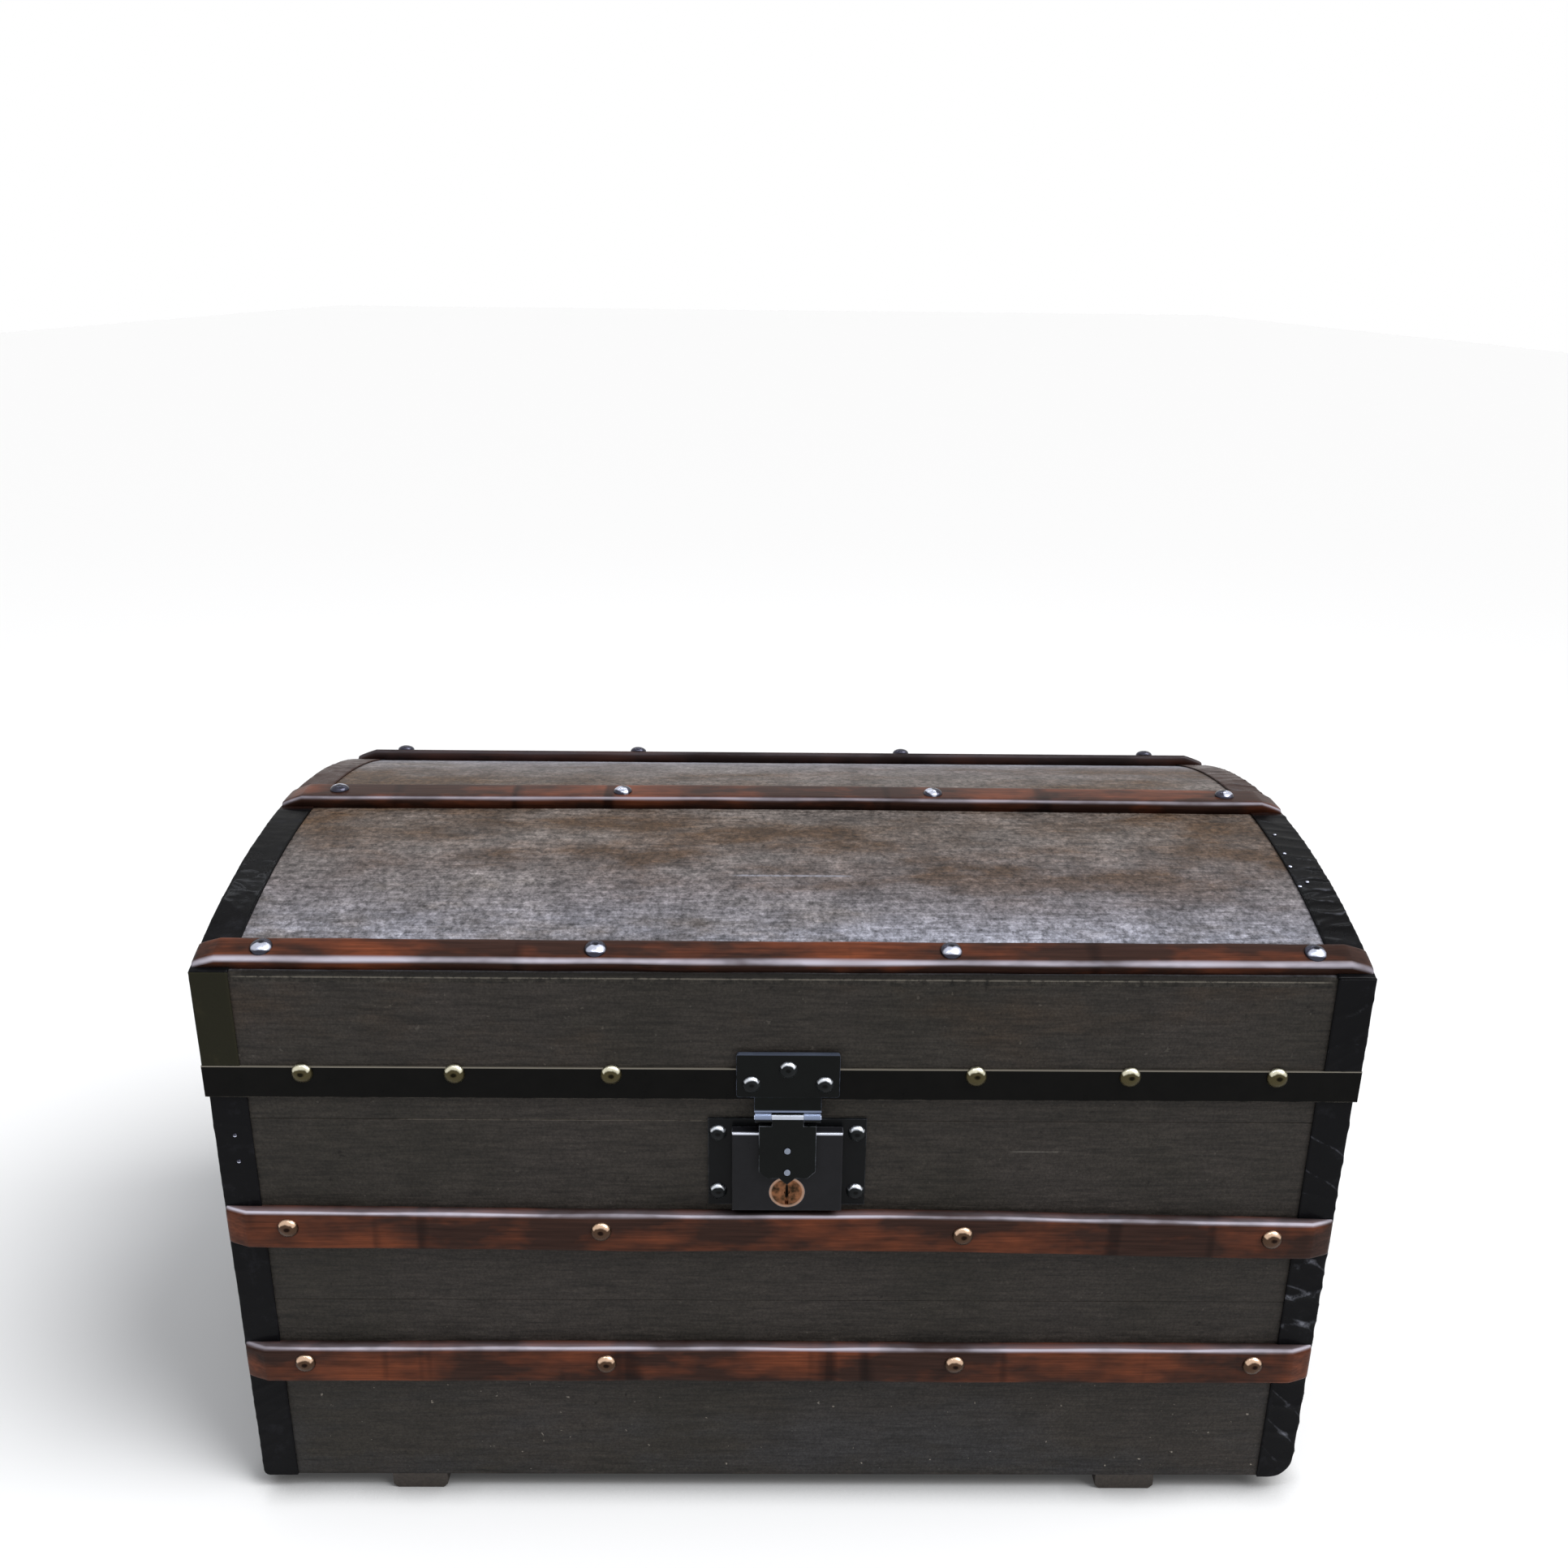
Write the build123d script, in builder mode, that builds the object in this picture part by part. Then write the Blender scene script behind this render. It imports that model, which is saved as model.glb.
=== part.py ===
from build123d import *
from math import asin, cos, radians, sin, sqrt, tan
import os

# A dome-top storage trunk, closed, standing on two runners.
# Millimetres. The origin is on the floor under the middle of the trunk,
# +Z is up and the front faces -Y.

os.makedirs("parts", exist_ok=True)

# The box
box_width = 700.0
box_depth = 385.0
box_height = 308.0
board = 12.0
bottom_board_thickness = 10.0
front_plank_lower_share = 0.474
front_plank_middle_share = 0.4416
back_plank_lower_share = 0.552
plank_edge_chamfer = 0.8
worn_corner_radius = 15.0
sharp_corner_radius = 3.0

# The lid
lid_gap = 0.4
lid_wall_height = 73.6
lid_overhang = 1.4
dome_rise = 36.0
dome_thickness = 5.0

# The runners
runner_height = 12.0
runner_left_share = -0.7014
runner_right_share = 0.6786
runner_left_width = 37.0
runner_right_width = 40.0
runner_chamfer = 3.0

# The slats
slat_thickness = 9.0
slat_width = 27.0
corner_slat_width = 19.0
corner_slat_setback = 2.5
slat_edge_radius = 3.0
slat_bevel_length = 14.0
slat_end_thickness = 3.5
slat_under_lock_gap = 6.2
slat_lower_share = 0.3221
front_slat_upper_tilt = -0.55

# The bindings over the corners, and the sheet-metal band round the lid's lower edge
binding_thickness = 1.0
binding_width = 22.0
band_thickness = 1.2
band_height = 21.5
band_drop = 9.9
band_back_margin = 2.5

# The nails and screws
nail_head_radius = 6.6
nail_head_height = 4.0
nail_shank_radius = 1.4
nail_shank_length = 17.0
band_nail_shank_length = 9.0
black_nail_head_radius = 5.6
black_nail_head_height = 3.6
hole_clearance = 0.05
slat_nail_shares = (-0.8857, -0.3257, 0.3257, 0.8857)
slat_nail_rise = 3.0
lid_front_nail_shares = (-0.8886, -0.3229, 0.2829, 0.9057)
lid_centre_nail_shares = (-0.8971, -0.3257, 0.3029, 0.8971)
lid_back_nail_shares = (-0.8971, -0.3429, 0.2857, 0.8714)
band_nail_shares = (-0.8343, -0.5714, -0.3, 0.3343, 0.6029, 0.86)
band_nail_drop = 4.5
band_end_nail_share = 0.6753
screw_head_radius = 4.0
screw_head_height = 1.6
screw_shank_radius = 1.6
screw_shank_length = 9.0
runner_screw_length = 15.0
runner_screw_recess = 3.0
runner_screw_share = 0.7792
runner_screw_room = 1.0

# The lock
lock_x = 2.5
lock_plate_width = 98.0
lock_plate_height = 62.5
lock_plate_drop = 86.5
lock_plate_thickness = 1.5
lock_case_width = 68.5
lock_case_height = 56.8
lock_case_depth = 7.0
lock_case_wall = 1.2
lock_case_edge_radius = 1.0
lock_nail_margin_x = 6.0
lock_nail_margin_z = 10.0
plug_drop = 72.5
plug_radius = 11.0
plug_lip = 1.2
plug_lip_thickness = 1.2
plug_axle_radius = 3.0
keyhole_width = 2.2
keyhole_length = 9.0
stud_radius = 1.2
stud_offset = 8.5
keyhole_eye_radius = 1.8
bolt_thickness = 2.0
bolt_height = 5.0
bolt_standoff = 2.0
bolt_tip_gap = 1.0
bolt_link_reach = 14.5
bolt_right_reach = 31.0
bolt_pad_inset = 6.0
bolt_arm_rise = 3.0
bolt_arm_gap = 1.3
bolt_notch_side = 3.0
bolt_notch_gap = 0.5
bolt_notch_rise = 1.8
staple_slot_gap = 0.5
running_gap = 0.3
fit_gap = 0.05
cut_past = 1.0

# The hasp
hasp_width = 63.0
hasp_top_rise = 23.5
hasp_shoulder_drop = 6.8
hasp_neck_width = 41.0
hasp_thickness = 2.0
hasp_nail_x = 22.3
hasp_nail_low_rise = 2.3
hasp_nail_high_rise = 12.6
hasp_pin_drop = 18.5
hasp_pin_radius = 1.6
hasp_knuckle_radius = 3.4
hasp_knuckle_length = 10.0
hasp_knuckle_margin = 0.5
hasp_crank_overlap = 1.0
tongue_width = 35.0
tongue_top_gap = 1.1
tongue_corner_cut = 5.0
tongue_point_height = 4.5
tongue_thickness = 2.5
tongue_tip_drop = 65.0
staple_low_drop = 56.0
staple_high_drop = 40.5
staple_width = 3.0
staple_leg = 2.4
staple_bar = 1.2
staple_end_gap = 0.4
rivet_radius = 1.9
rivet_height = 0.8

# The hinges behind
hinge_share = 0.6286
hinge_width = 60.0
hinge_leaf_height = 42.0
hinge_leaf_thickness = 2.0
hinge_barrel_radius = 4.0
hinge_barrel_gap = 0.5
hinge_pin_radius = 1.75
hinge_middle_knuckle = 20.0
hinge_tooth_length = 3.0
hinge_opening = 105.0
hinge_tooth_margin = 3.0
hinge_screw_inset = 12.0

# The drop handles on the ends
handle_pivot_drop = 80.0
handle_plate_width = 144.0
handle_plate_height = 36.0
handle_plate_thickness = 2.0
handle_rod_radius = 4.0
handle_span = 76.0
handle_drop = 40.0
handle_bend_radius = 8.0
handle_standoff = 10.0
handle_ear_thickness = 6.0
handle_ear_radius = 8.5
handle_ear_gap = 6.0
handle_rod_end = 3.0
handle_screw_margin = 3.0

# Places worked out from the sizes above
half_width = box_width / 2
half_depth = box_depth / 2
runner_left_x = runner_left_share * half_width
runner_right_x = runner_right_share * half_width
runner_screw_pitch = runner_screw_share * half_depth
band_end_nail_pitch = band_end_nail_share * half_depth
hinge_x = hinge_share * half_width
slat_nail_xs = [share * half_width for share in slat_nail_shares]
band_nail_xs = [share * half_width for share in band_nail_shares]
box_bottom = runner_height
box_top = box_bottom + box_height
front_slat_lower_z = box_bottom + slat_lower_share * box_height
lock_plate_bottom = box_top - lock_plate_drop
front_slat_upper_z = lock_plate_bottom - slat_under_lock_gap - slat_width / 2
plug_z = box_top - plug_drop
hasp_top = box_top + hasp_top_rise
hasp_shoulder = box_top - hasp_shoulder_drop
hasp_nail_low_z = box_top + hasp_nail_low_rise
hasp_nail_high_z = box_top + hasp_nail_high_rise
hasp_pin_z = box_top - hasp_pin_drop
tongue_tip_z = box_top - tongue_tip_drop
staple_low_z = box_top - staple_low_drop
staple_high_z = box_top - staple_high_drop
handle_z = box_top - handle_pivot_drop
lid_bottom = box_top + lid_gap
lid_corner_z = lid_bottom + lid_wall_height
lid_half_width = half_width + lid_overhang
lid_front = -half_depth - lid_overhang
lid_back = half_depth
lid_depth = lid_back - lid_front
dome_radius = (lid_depth**2 / 4 + dome_rise**2) / (2 * dome_rise)
dome_y = (lid_front + lid_back) / 2
dome_z = lid_corner_z + dome_rise - dome_radius
band_bottom = lid_bottom - band_drop
band_top = band_bottom + band_height
band_front_y = lid_front - band_thickness
lock_front_y = -half_depth - lock_plate_thickness - lock_case_depth
tongue_back_y = lock_front_y - running_gap
tongue_front_y = tongue_back_y - tongue_thickness
hasp_front_y = band_front_y - hasp_thickness
hasp_pin_y = tongue_front_y + hasp_knuckle_radius
hinge_y = half_depth + hinge_barrel_gap + hinge_barrel_radius
hinge_z = box_top + lid_gap / 2


def write(piece, name):
    """Label a finished piece and write it to its own file."""
    piece.label = name
    export_step(piece, f"parts/{name}.step")


def block(x, y, z, mode=Mode.ADD):
    """A block between two values on each axis."""
    with Locations(((x[0] + x[1]) / 2, (y[0] + y[1]) / 2, (z[0] + z[1]) / 2)):
        Box(x[1] - x[0], y[1] - y[0], z[1] - z[0], mode=mode)


def box_outline(grow, y, mode=Mode.ADD):
    """The box's front outline, larger by grow at the ends and below, between two depths.

    Its lower right corner is worn round and its lower left corner is nearly sharp.
    """
    half = half_width + grow
    low = box_bottom - grow
    left = sharp_corner_radius + grow
    right = worn_corner_radius + grow
    with BuildSketch(Plane.XZ.offset(-y[1])) as outline:
        with BuildLine():
            left_side = Line((-half, box_top), (-half, low + left))
            left_corner = TangentArc(left_side @ 1, (-half + left, low), tangent=left_side % 1)
            underside = Line(left_corner @ 1, (half - right, low))
            right_corner = TangentArc(underside @ 1, (half, low + right), tangent=underside % 1)
            right_side = Line(right_corner @ 1, (half, box_top))
            Line(right_side @ 1, left_side @ 0)
        make_face()
    extrude(outline.sketch, amount=y[1] - y[0], mode=mode)


def dome_section(offset, x, mode=Mode.ADD):
    """The lid's end outline, its arc larger by offset, between two places along the trunk."""
    crown = dome_z + dome_radius + offset
    height = crown - lid_bottom + cut_past
    with BuildSketch(Plane.YZ.offset(x[0])) as section:
        with Locations((dome_y, lid_bottom + height / 2)):
            Rectangle(lid_depth, height)
        with Locations((dome_y, dome_z)):
            Circle(dome_radius + offset, mode=Mode.INTERSECT)
    extrude(section.sketch, amount=x[1] - x[0], mode=mode)


def dome_seat(y, x=0.0, rise=0.0):
    """A plane on the dome at depth y, its x along the trunk and its normal pointing out."""
    angle = asin((y - dome_y) / dome_radius)
    reach = dome_radius + rise
    origin = (x, dome_y + reach * sin(angle), dome_z + reach * cos(angle))
    return Plane(origin=origin, x_dir=(1, 0, 0), z_dir=(0, sin(angle), cos(angle)))


def slat(seat, width, length, sink=0.0):
    """A slat on a seat plane, with rounded long edges and ends bevelled down."""
    start = seat.origin - seat.x_dir * (length / 2)
    with BuildPart() as piece:
        with BuildSketch(Plane(origin=start, x_dir=seat.y_dir, z_dir=seat.x_dir)):
            with BuildLine():
                shape = FilletPolyline(
                    (-width / 2, -sink),
                    (-width / 2, slat_thickness),
                    (width / 2, slat_thickness),
                    (width / 2, -sink),
                    radius=slat_edge_radius,
                )
                Line(shape @ 1, shape @ 0)
            make_face()
        extrude(amount=length)
        side = seat.origin + seat.y_dir * width
        with BuildSketch(Plane(origin=side, x_dir=seat.x_dir, z_dir=-seat.y_dir)):
            with BuildLine():
                Polyline(
                    (-length / 2, -width),
                    (-length / 2, slat_end_thickness),
                    (-length / 2 + slat_bevel_length, slat_thickness),
                    (-length / 2 + slat_bevel_length, 2 * slat_thickness),
                    (length / 2 - slat_bevel_length, 2 * slat_thickness),
                    (length / 2 - slat_bevel_length, slat_thickness),
                    (length / 2, slat_end_thickness),
                    (length / 2, -width),
                    close=True,
                )
            make_face()
        extrude(amount=2 * width, mode=Mode.INTERSECT)
    return piece.part


def nail(head_radius, head_height, shank_radius, shank_length):
    """A domed nail standing on the XY plane, with its shank below."""
    crown_radius = (head_radius**2 + head_height**2) / (2 * head_height)
    middle = head_radius / 2
    middle_height = head_height - crown_radius + sqrt(crown_radius**2 - middle**2)
    with BuildPart() as piece:
        with BuildSketch(Plane.XZ):
            with BuildLine():
                side = Polyline(
                    (0, -shank_length),
                    (shank_radius, -shank_length),
                    (shank_radius, 0),
                    (head_radius, 0),
                )
                dome = ThreePointArc(side @ 1, (middle, middle_height), (0, head_height))
                Line(dome @ 1, side @ 0)
            make_face()
        revolve(axis=Axis.Z)
    return piece.part


def placed(piece, seats):
    """Copies of one fastener, standing on each seat plane."""
    with BuildPart() as group:
        with Locations(*seats):
            add(piece)
    return group.part


def holes(seats, shank_radius, shank_length):
    """The holes that the shanks of fasteners on these seats stand in."""
    depth = shank_length + hole_clearance
    with BuildPart() as group:
        with Locations(*seats):
            Cylinder(
                shank_radius + hole_clearance, depth, align=(Align.CENTER, Align.CENTER, Align.MAX)
            )
    return group.part


def front_seat(x, z, y, tilt=0.0):
    """A plane on a face that looks forward, its x along the trunk."""
    along = (cos(radians(tilt)), 0, sin(radians(tilt)))
    return Plane(origin=(x, y, z), x_dir=along, z_dir=(0, -1, 0))


def back_seat(x, z, y):
    """A plane on a face that looks back, its x along the trunk."""
    return Plane(origin=(x, y, z), x_dir=(-1, 0, 0), z_dir=(0, 1, 0))


def end_seat(side, y, z, x):
    """A plane on a face that looks out at the left (-1) or right (1) end."""
    return Plane(origin=(side * x, y, z), x_dir=(0, side, 0), z_dir=(side, 0, 0))


# Where the nails and screws stand
slat_front_y = -half_depth - slat_thickness
upper_slope = tan(radians(front_slat_upper_tilt))
body_slat_seats = [
    front_seat(x, front_slat_upper_z + slat_nail_rise + x * upper_slope, slat_front_y)
    for x in slat_nail_xs
]
body_slat_seats += [
    front_seat(x, front_slat_lower_z + slat_nail_rise, slat_front_y) for x in slat_nail_xs
]
body_slat_seats += [
    back_seat(x, z, -slat_front_y)
    for x in slat_nail_xs
    for z in (front_slat_upper_z, front_slat_lower_z)
]

corner_slat_y = lid_front + corner_slat_setback + corner_slat_width / 2
back_corner_slat_y = lid_back - corner_slat_setback - corner_slat_width / 2
lid_nail_rows = {
    corner_slat_y: lid_front_nail_shares,
    dome_y: lid_centre_nail_shares,
    back_corner_slat_y: lid_back_nail_shares,
}
lid_slat_seats = [
    dome_seat(y, share * half_width, slat_thickness)
    for y, shares in lid_nail_rows.items()
    for share in shares
]

band_nail_z = band_top - band_nail_drop
band_nail_seats = [front_seat(x, band_nail_z, band_front_y) for x in band_nail_xs]
band_nail_seats += [
    end_seat(side, y, band_nail_z, lid_half_width + band_thickness)
    for side in (-1, 1)
    for y in (-band_end_nail_pitch, 0, band_end_nail_pitch)
]

lock_plate_top = lock_plate_bottom + lock_plate_height
lock_nail_x = lock_plate_width / 2 - lock_nail_margin_x
lock_nail_seats = [
    front_seat(lock_x + side * lock_nail_x, z, -half_depth - lock_plate_thickness)
    for side in (-1, 1)
    for z in (lock_plate_bottom + lock_nail_margin_z, lock_plate_top - lock_nail_margin_z)
]
hasp_nail_seats = [
    front_seat(lock_x - hasp_nail_x, hasp_nail_low_z, hasp_front_y),
    front_seat(lock_x, hasp_nail_high_z, hasp_front_y),
    front_seat(lock_x + hasp_nail_x, hasp_nail_low_z, hasp_front_y),
]

leaf_back_y = half_depth + hinge_leaf_thickness
hinge_screw_spread = hinge_width / 3
body_leaf_low = box_top - hinge_leaf_height
lid_leaf_high = lid_bottom + hinge_leaf_height
body_screw_seats = [
    back_seat(side * hinge_x + step * hinge_screw_spread, body_leaf_low + hinge_screw_inset, leaf_back_y)
    for side in (-1, 1)
    for step in (-1, 0, 1)
]
lid_screw_seats = [
    back_seat(side * hinge_x + step * hinge_screw_spread, lid_leaf_high - hinge_screw_inset, leaf_back_y)
    for side in (-1, 1)
    for step in (-1, 0, 1)
]
handle_screw_y = handle_plate_width / 2 - screw_head_radius - handle_screw_margin
handle_screw_z = handle_plate_height / 2 - screw_head_radius - handle_screw_margin
body_screw_seats += [
    end_seat(side, y, handle_z + z, half_width + handle_plate_thickness)
    for side in (-1, 1)
    for y in (-handle_screw_y, handle_screw_y)
    for z in (-handle_screw_z, handle_screw_z)
]
runner_screw_seats = [
    Plane(origin=(x, y, runner_screw_recess), x_dir=(1, 0, 0), z_dir=(0, 0, -1))
    for x in (runner_left_x, runner_right_x)
    for y in (-runner_screw_pitch, 0, runner_screw_pitch)
]

body_holes = holes(body_slat_seats, nail_shank_radius, nail_shank_length)
lock_holes = holes(lock_nail_seats, nail_shank_radius, band_nail_shank_length)
screw_holes = holes(body_screw_seats, screw_shank_radius, screw_shank_length)
runner_holes = holes(runner_screw_seats, screw_shank_radius, runner_screw_length)
lid_slat_holes = holes(lid_slat_seats, nail_shank_radius, slat_thickness + dome_thickness)
band_holes = holes(band_nail_seats, nail_shank_radius, band_nail_shank_length)
hasp_holes = holes(hasp_nail_seats, nail_shank_radius, band_nail_shank_length)
lid_screw_holes = holes(lid_screw_seats, screw_shank_radius, screw_shank_length)
lid_holes = [lid_slat_holes, band_holes, hasp_holes, lid_screw_holes]

# Bottom board, inside the four walls
inner_x = half_width - board
inner_y = half_depth - board
with BuildPart() as bottom_board:
    box_outline(0, (-inner_y, inner_y))
    block(
        (-inner_x, inner_x),
        (-inner_y, inner_y),
        (box_bottom, box_bottom + bottom_board_thickness),
        mode=Mode.INTERSECT,
    )
    add(runner_holes, mode=Mode.SUBTRACT)
write(bottom_board.part, "bottom_board")

# Front wall of three planks, butted edge to edge
front_joint_low = box_bottom + front_plank_lower_share * box_height
front_joint_high = front_joint_low + front_plank_middle_share * box_height
front_planks = {
    "front_plank_lower": (box_bottom, front_joint_low),
    "front_plank_middle": (front_joint_low, front_joint_high),
    "front_plank_upper": (front_joint_high, box_top),
}
for name, (low, high) in front_planks.items():
    with BuildPart() as plank:
        box_outline(0, (-half_depth, -inner_y))
        block((-half_width, half_width), (-half_depth, -inner_y), (low, high), mode=Mode.INTERSECT)
        face_edges = plank.edges().filter_by(Axis.X).group_by(Axis.Y)[0]
        chamfer(face_edges.sort_by(Axis.Z)[-1], plank_edge_chamfer)
        add([body_holes, lock_holes], mode=Mode.SUBTRACT)
    write(plank.part, name)

# Back wall of two planks
back_joint = box_bottom + back_plank_lower_share * box_height
back_planks = {
    "back_plank_lower": (box_bottom, back_joint),
    "back_plank_upper": (back_joint, box_top),
}
for name, (low, high) in back_planks.items():
    with BuildPart() as plank:
        box_outline(0, (inner_y, half_depth))
        block((-half_width, half_width), (inner_y, half_depth), (low, high), mode=Mode.INTERSECT)
        face_edges = plank.edges().filter_by(Axis.X).group_by(Axis.Y)[-1]
        chamfer(face_edges.sort_by(Axis.Z)[-1], plank_edge_chamfer)
        add([body_holes, screw_holes], mode=Mode.SUBTRACT)
    write(plank.part, name)

# End boards, between the front and back walls
for side, name in ((-1, "left_end_board"), (1, "right_end_board")):
    end_x = sorted((side * inner_x, side * half_width))
    with BuildPart() as end_board:
        box_outline(0, (-inner_y, inner_y))
        block(end_x, (-inner_y, inner_y), (box_bottom, box_top), mode=Mode.INTERSECT)
        add(screw_holes, mode=Mode.SUBTRACT)
    write(end_board.part, name)

# Runners from front to back under the bottom
runners = {
    "runner_left": (runner_left_x, runner_left_width),
    "runner_right": (runner_right_x, runner_right_width),
}
for name, (x, width) in runners.items():
    with BuildPart() as runner:
        block((x - width / 2, x + width / 2), (-half_depth, half_depth), (0, runner_height))
        foot_edges = runner.edges().filter_by(Axis.Y).group_by(Axis.Z)[0]
        chamfer(foot_edges, runner_chamfer)
        add(runner_holes, mode=Mode.SUBTRACT)
        with Locations(*[Plane(origin=(x, y, 0)) for y in (-runner_screw_pitch, 0, runner_screw_pitch)]):
            Cylinder(
                screw_head_radius + runner_screw_room,
                runner_screw_recess,
                align=(Align.CENTER, Align.CENTER, Align.MIN),
                mode=Mode.SUBTRACT,
            )
    write(runner.part, name)

# Bindings folded round the box's four upright corners and under the bottom
binding_inner_x = half_width - binding_width
binding_reach_y = half_depth - binding_width
corner_bindings = []
for side, side_name in ((-1, "left"), (1, "right")):
    with BuildPart() as front_binding:
        box_outline(binding_thickness, (-half_depth - binding_thickness, -binding_reach_y))
        box_outline(0, (-half_depth, 0), mode=Mode.SUBTRACT)
        block(
            sorted((side * binding_inner_x, side * (half_width + 2 * binding_thickness))),
            (-half_depth - 2 * binding_thickness, 0),
            (0, box_top),
            mode=Mode.INTERSECT,
        )
    with BuildPart() as back_binding:
        mirror(front_binding.part, about=Plane.XZ)
    write(front_binding.part, f"corner_binding_front_{side_name}")
    write(back_binding.part, f"corner_binding_back_{side_name}")
    corner_bindings += [front_binding.part, back_binding.part]

# Wooden slats nailed along the front and back, over the bindings
body_slats = {
    "front_slat_upper": front_seat(0, front_slat_upper_z, -half_depth, front_slat_upper_tilt),
    "front_slat_lower": front_seat(0, front_slat_lower_z, -half_depth),
    "back_slat_upper": back_seat(0, front_slat_upper_z, half_depth),
    "back_slat_lower": back_seat(0, front_slat_lower_z, half_depth),
}
for name, seat in body_slats.items():
    with BuildPart() as body_slat:
        add(slat(seat, slat_width, box_width))
        add(corner_bindings, mode=Mode.SUBTRACT)
        add(body_holes, mode=Mode.SUBTRACT)
    write(body_slat.part, name)

slat_nail = nail(nail_head_radius, nail_head_height, nail_shank_radius, nail_shank_length)
write(placed(slat_nail, body_slat_seats), "body_slat_nails")

# Lock plate screwed flat on the front, with a bearing for the plug and a pad behind the bolt
plate_back_y = -half_depth
plate_front_y = plate_back_y - lock_plate_thickness
case_inner_y = lock_front_y + lock_case_wall
bolt_back_y = plate_front_y - bolt_standoff
bolt_z = (staple_low_z + staple_high_z) / 2
bolt_right = lock_x + bolt_right_reach
bolt_link_left = lock_x + bolt_link_reach
lower_arm_z = (plug_z + bolt_arm_rise, staple_low_z - staple_leg / 2 - bolt_arm_gap)
pad_x = (bolt_link_left + bolt_pad_inset, bolt_right)
with BuildPart() as lock_plate:
    block(
        (lock_x - lock_plate_width / 2, lock_x + lock_plate_width / 2),
        (plate_front_y, plate_back_y),
        (lock_plate_bottom, lock_plate_top),
    )
    block(pad_x, (bolt_back_y + running_gap, plate_front_y), (lower_arm_z[0], bolt_z + bolt_height / 2))
    with Locations(front_seat(lock_x, plug_z, plate_front_y)):
        Hole(plug_axle_radius + fit_gap)
    add(lock_holes, mode=Mode.SUBTRACT)
write(lock_plate.part, "lock_plate")

# Lock case, a pressed cover with the plug's hole and a slot open at the top for the staple
case_top = lock_plate_bottom + lock_case_height
case_x = (lock_x - lock_case_width / 2, lock_x + lock_case_width / 2)
slot_half = staple_width / 2 + staple_slot_gap
slot_bottom = staple_low_z - staple_leg / 2 - staple_slot_gap
with BuildPart() as lock_case:
    block(case_x, (lock_front_y, plate_front_y), (lock_plate_bottom, case_top))
    front_face = lock_case.faces().sort_by(Axis.Y)[0]
    fillet(front_face.edges(), lock_case_edge_radius)
    block(
        (case_x[0] + lock_case_wall, case_x[1] - lock_case_wall),
        (case_inner_y, plate_front_y),
        (lock_plate_bottom + lock_case_wall, case_top - lock_case_wall),
        mode=Mode.SUBTRACT,
    )
    block(
        (lock_x - slot_half, lock_x + slot_half),
        (lock_front_y, plate_front_y - running_gap),
        (slot_bottom, case_top),
        mode=Mode.SUBTRACT,
    )
    with Locations(front_seat(lock_x, plug_z, lock_front_y)):
        Cylinder(plug_radius + fit_gap, 3 * lock_case_wall, mode=Mode.SUBTRACT)
write(lock_case.part, "lock_case")

black_nail = nail(
    black_nail_head_radius, black_nail_head_height, nail_shank_radius, band_nail_shank_length
)
write(placed(black_nail, lock_nail_seats), "lock_nails")

# Brass plug, turned by the key: a disc flush with the case, a lip behind the wall,
# an axle in the plate and a stud that drives the bolt
lip_front_y = case_inner_y + running_gap
lip_back_y = lip_front_y + plug_lip_thickness
stud_x = lock_x + stud_offset * sqrt(0.5)
stud_z = plug_z + stud_offset * sqrt(0.5)
with BuildPart() as lock_plug:
    with BuildSketch(front_seat(lock_x, plug_z, lip_front_y)):
        Circle(plug_radius)
    extrude(amount=lip_front_y - lock_front_y)
    with BuildSketch(front_seat(lock_x, plug_z, lip_back_y)):
        Circle(plug_radius + plug_lip)
    extrude(amount=plug_lip_thickness)
    with BuildSketch(front_seat(lock_x, plug_z, plate_back_y - running_gap)):
        Circle(plug_axle_radius)
    extrude(amount=plate_back_y - running_gap - lip_back_y)
    with BuildSketch(front_seat(stud_x, stud_z, bolt_back_y - running_gap)):
        Circle(stud_radius)
    extrude(amount=bolt_back_y - running_gap - lip_back_y)
    block(
        (lock_x - keyhole_width / 2, lock_x + keyhole_width / 2),
        (lock_front_y - cut_past, lip_back_y - running_gap),
        (plug_z - keyhole_length, plug_z),
        mode=Mode.SUBTRACT,
    )
    with Locations(front_seat(lock_x, plug_z, lock_front_y)):
        Cylinder(keyhole_eye_radius, 2 * plug_lip_thickness, mode=Mode.SUBTRACT)
write(lock_plug.part, "lock_plug")

# Bolt: a C-shaped plate, its upper arm aimed at the staple's eye,
# its lower arm notched for the plug's stud
bolt_tip = lock_x + staple_width / 2 + bolt_tip_gap
notch_half = stud_radius + bolt_notch_gap
notch_left = stud_x - notch_half - bolt_notch_side
notch_top = plug_z + stud_offset + bolt_notch_rise
with BuildPart() as lock_bolt:
    with BuildSketch(Plane.XZ.offset(-bolt_back_y)):
        with BuildLine():
            Polyline(
                (bolt_tip, bolt_z - bolt_height / 2),
                (bolt_link_left, bolt_z - bolt_height / 2),
                (bolt_link_left, lower_arm_z[1]),
                (notch_left, lower_arm_z[1]),
                (notch_left, lower_arm_z[0]),
                (stud_x - notch_half, lower_arm_z[0]),
                (stud_x - notch_half, notch_top),
                (stud_x + notch_half, notch_top),
                (stud_x + notch_half, lower_arm_z[0]),
                (bolt_right, lower_arm_z[0]),
                (bolt_right, bolt_z + bolt_height / 2),
                (bolt_tip, bolt_z + bolt_height / 2),
                close=True,
            )
        make_face()
    extrude(amount=bolt_thickness)
write(lock_bolt.part, "lock_bolt")

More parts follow.
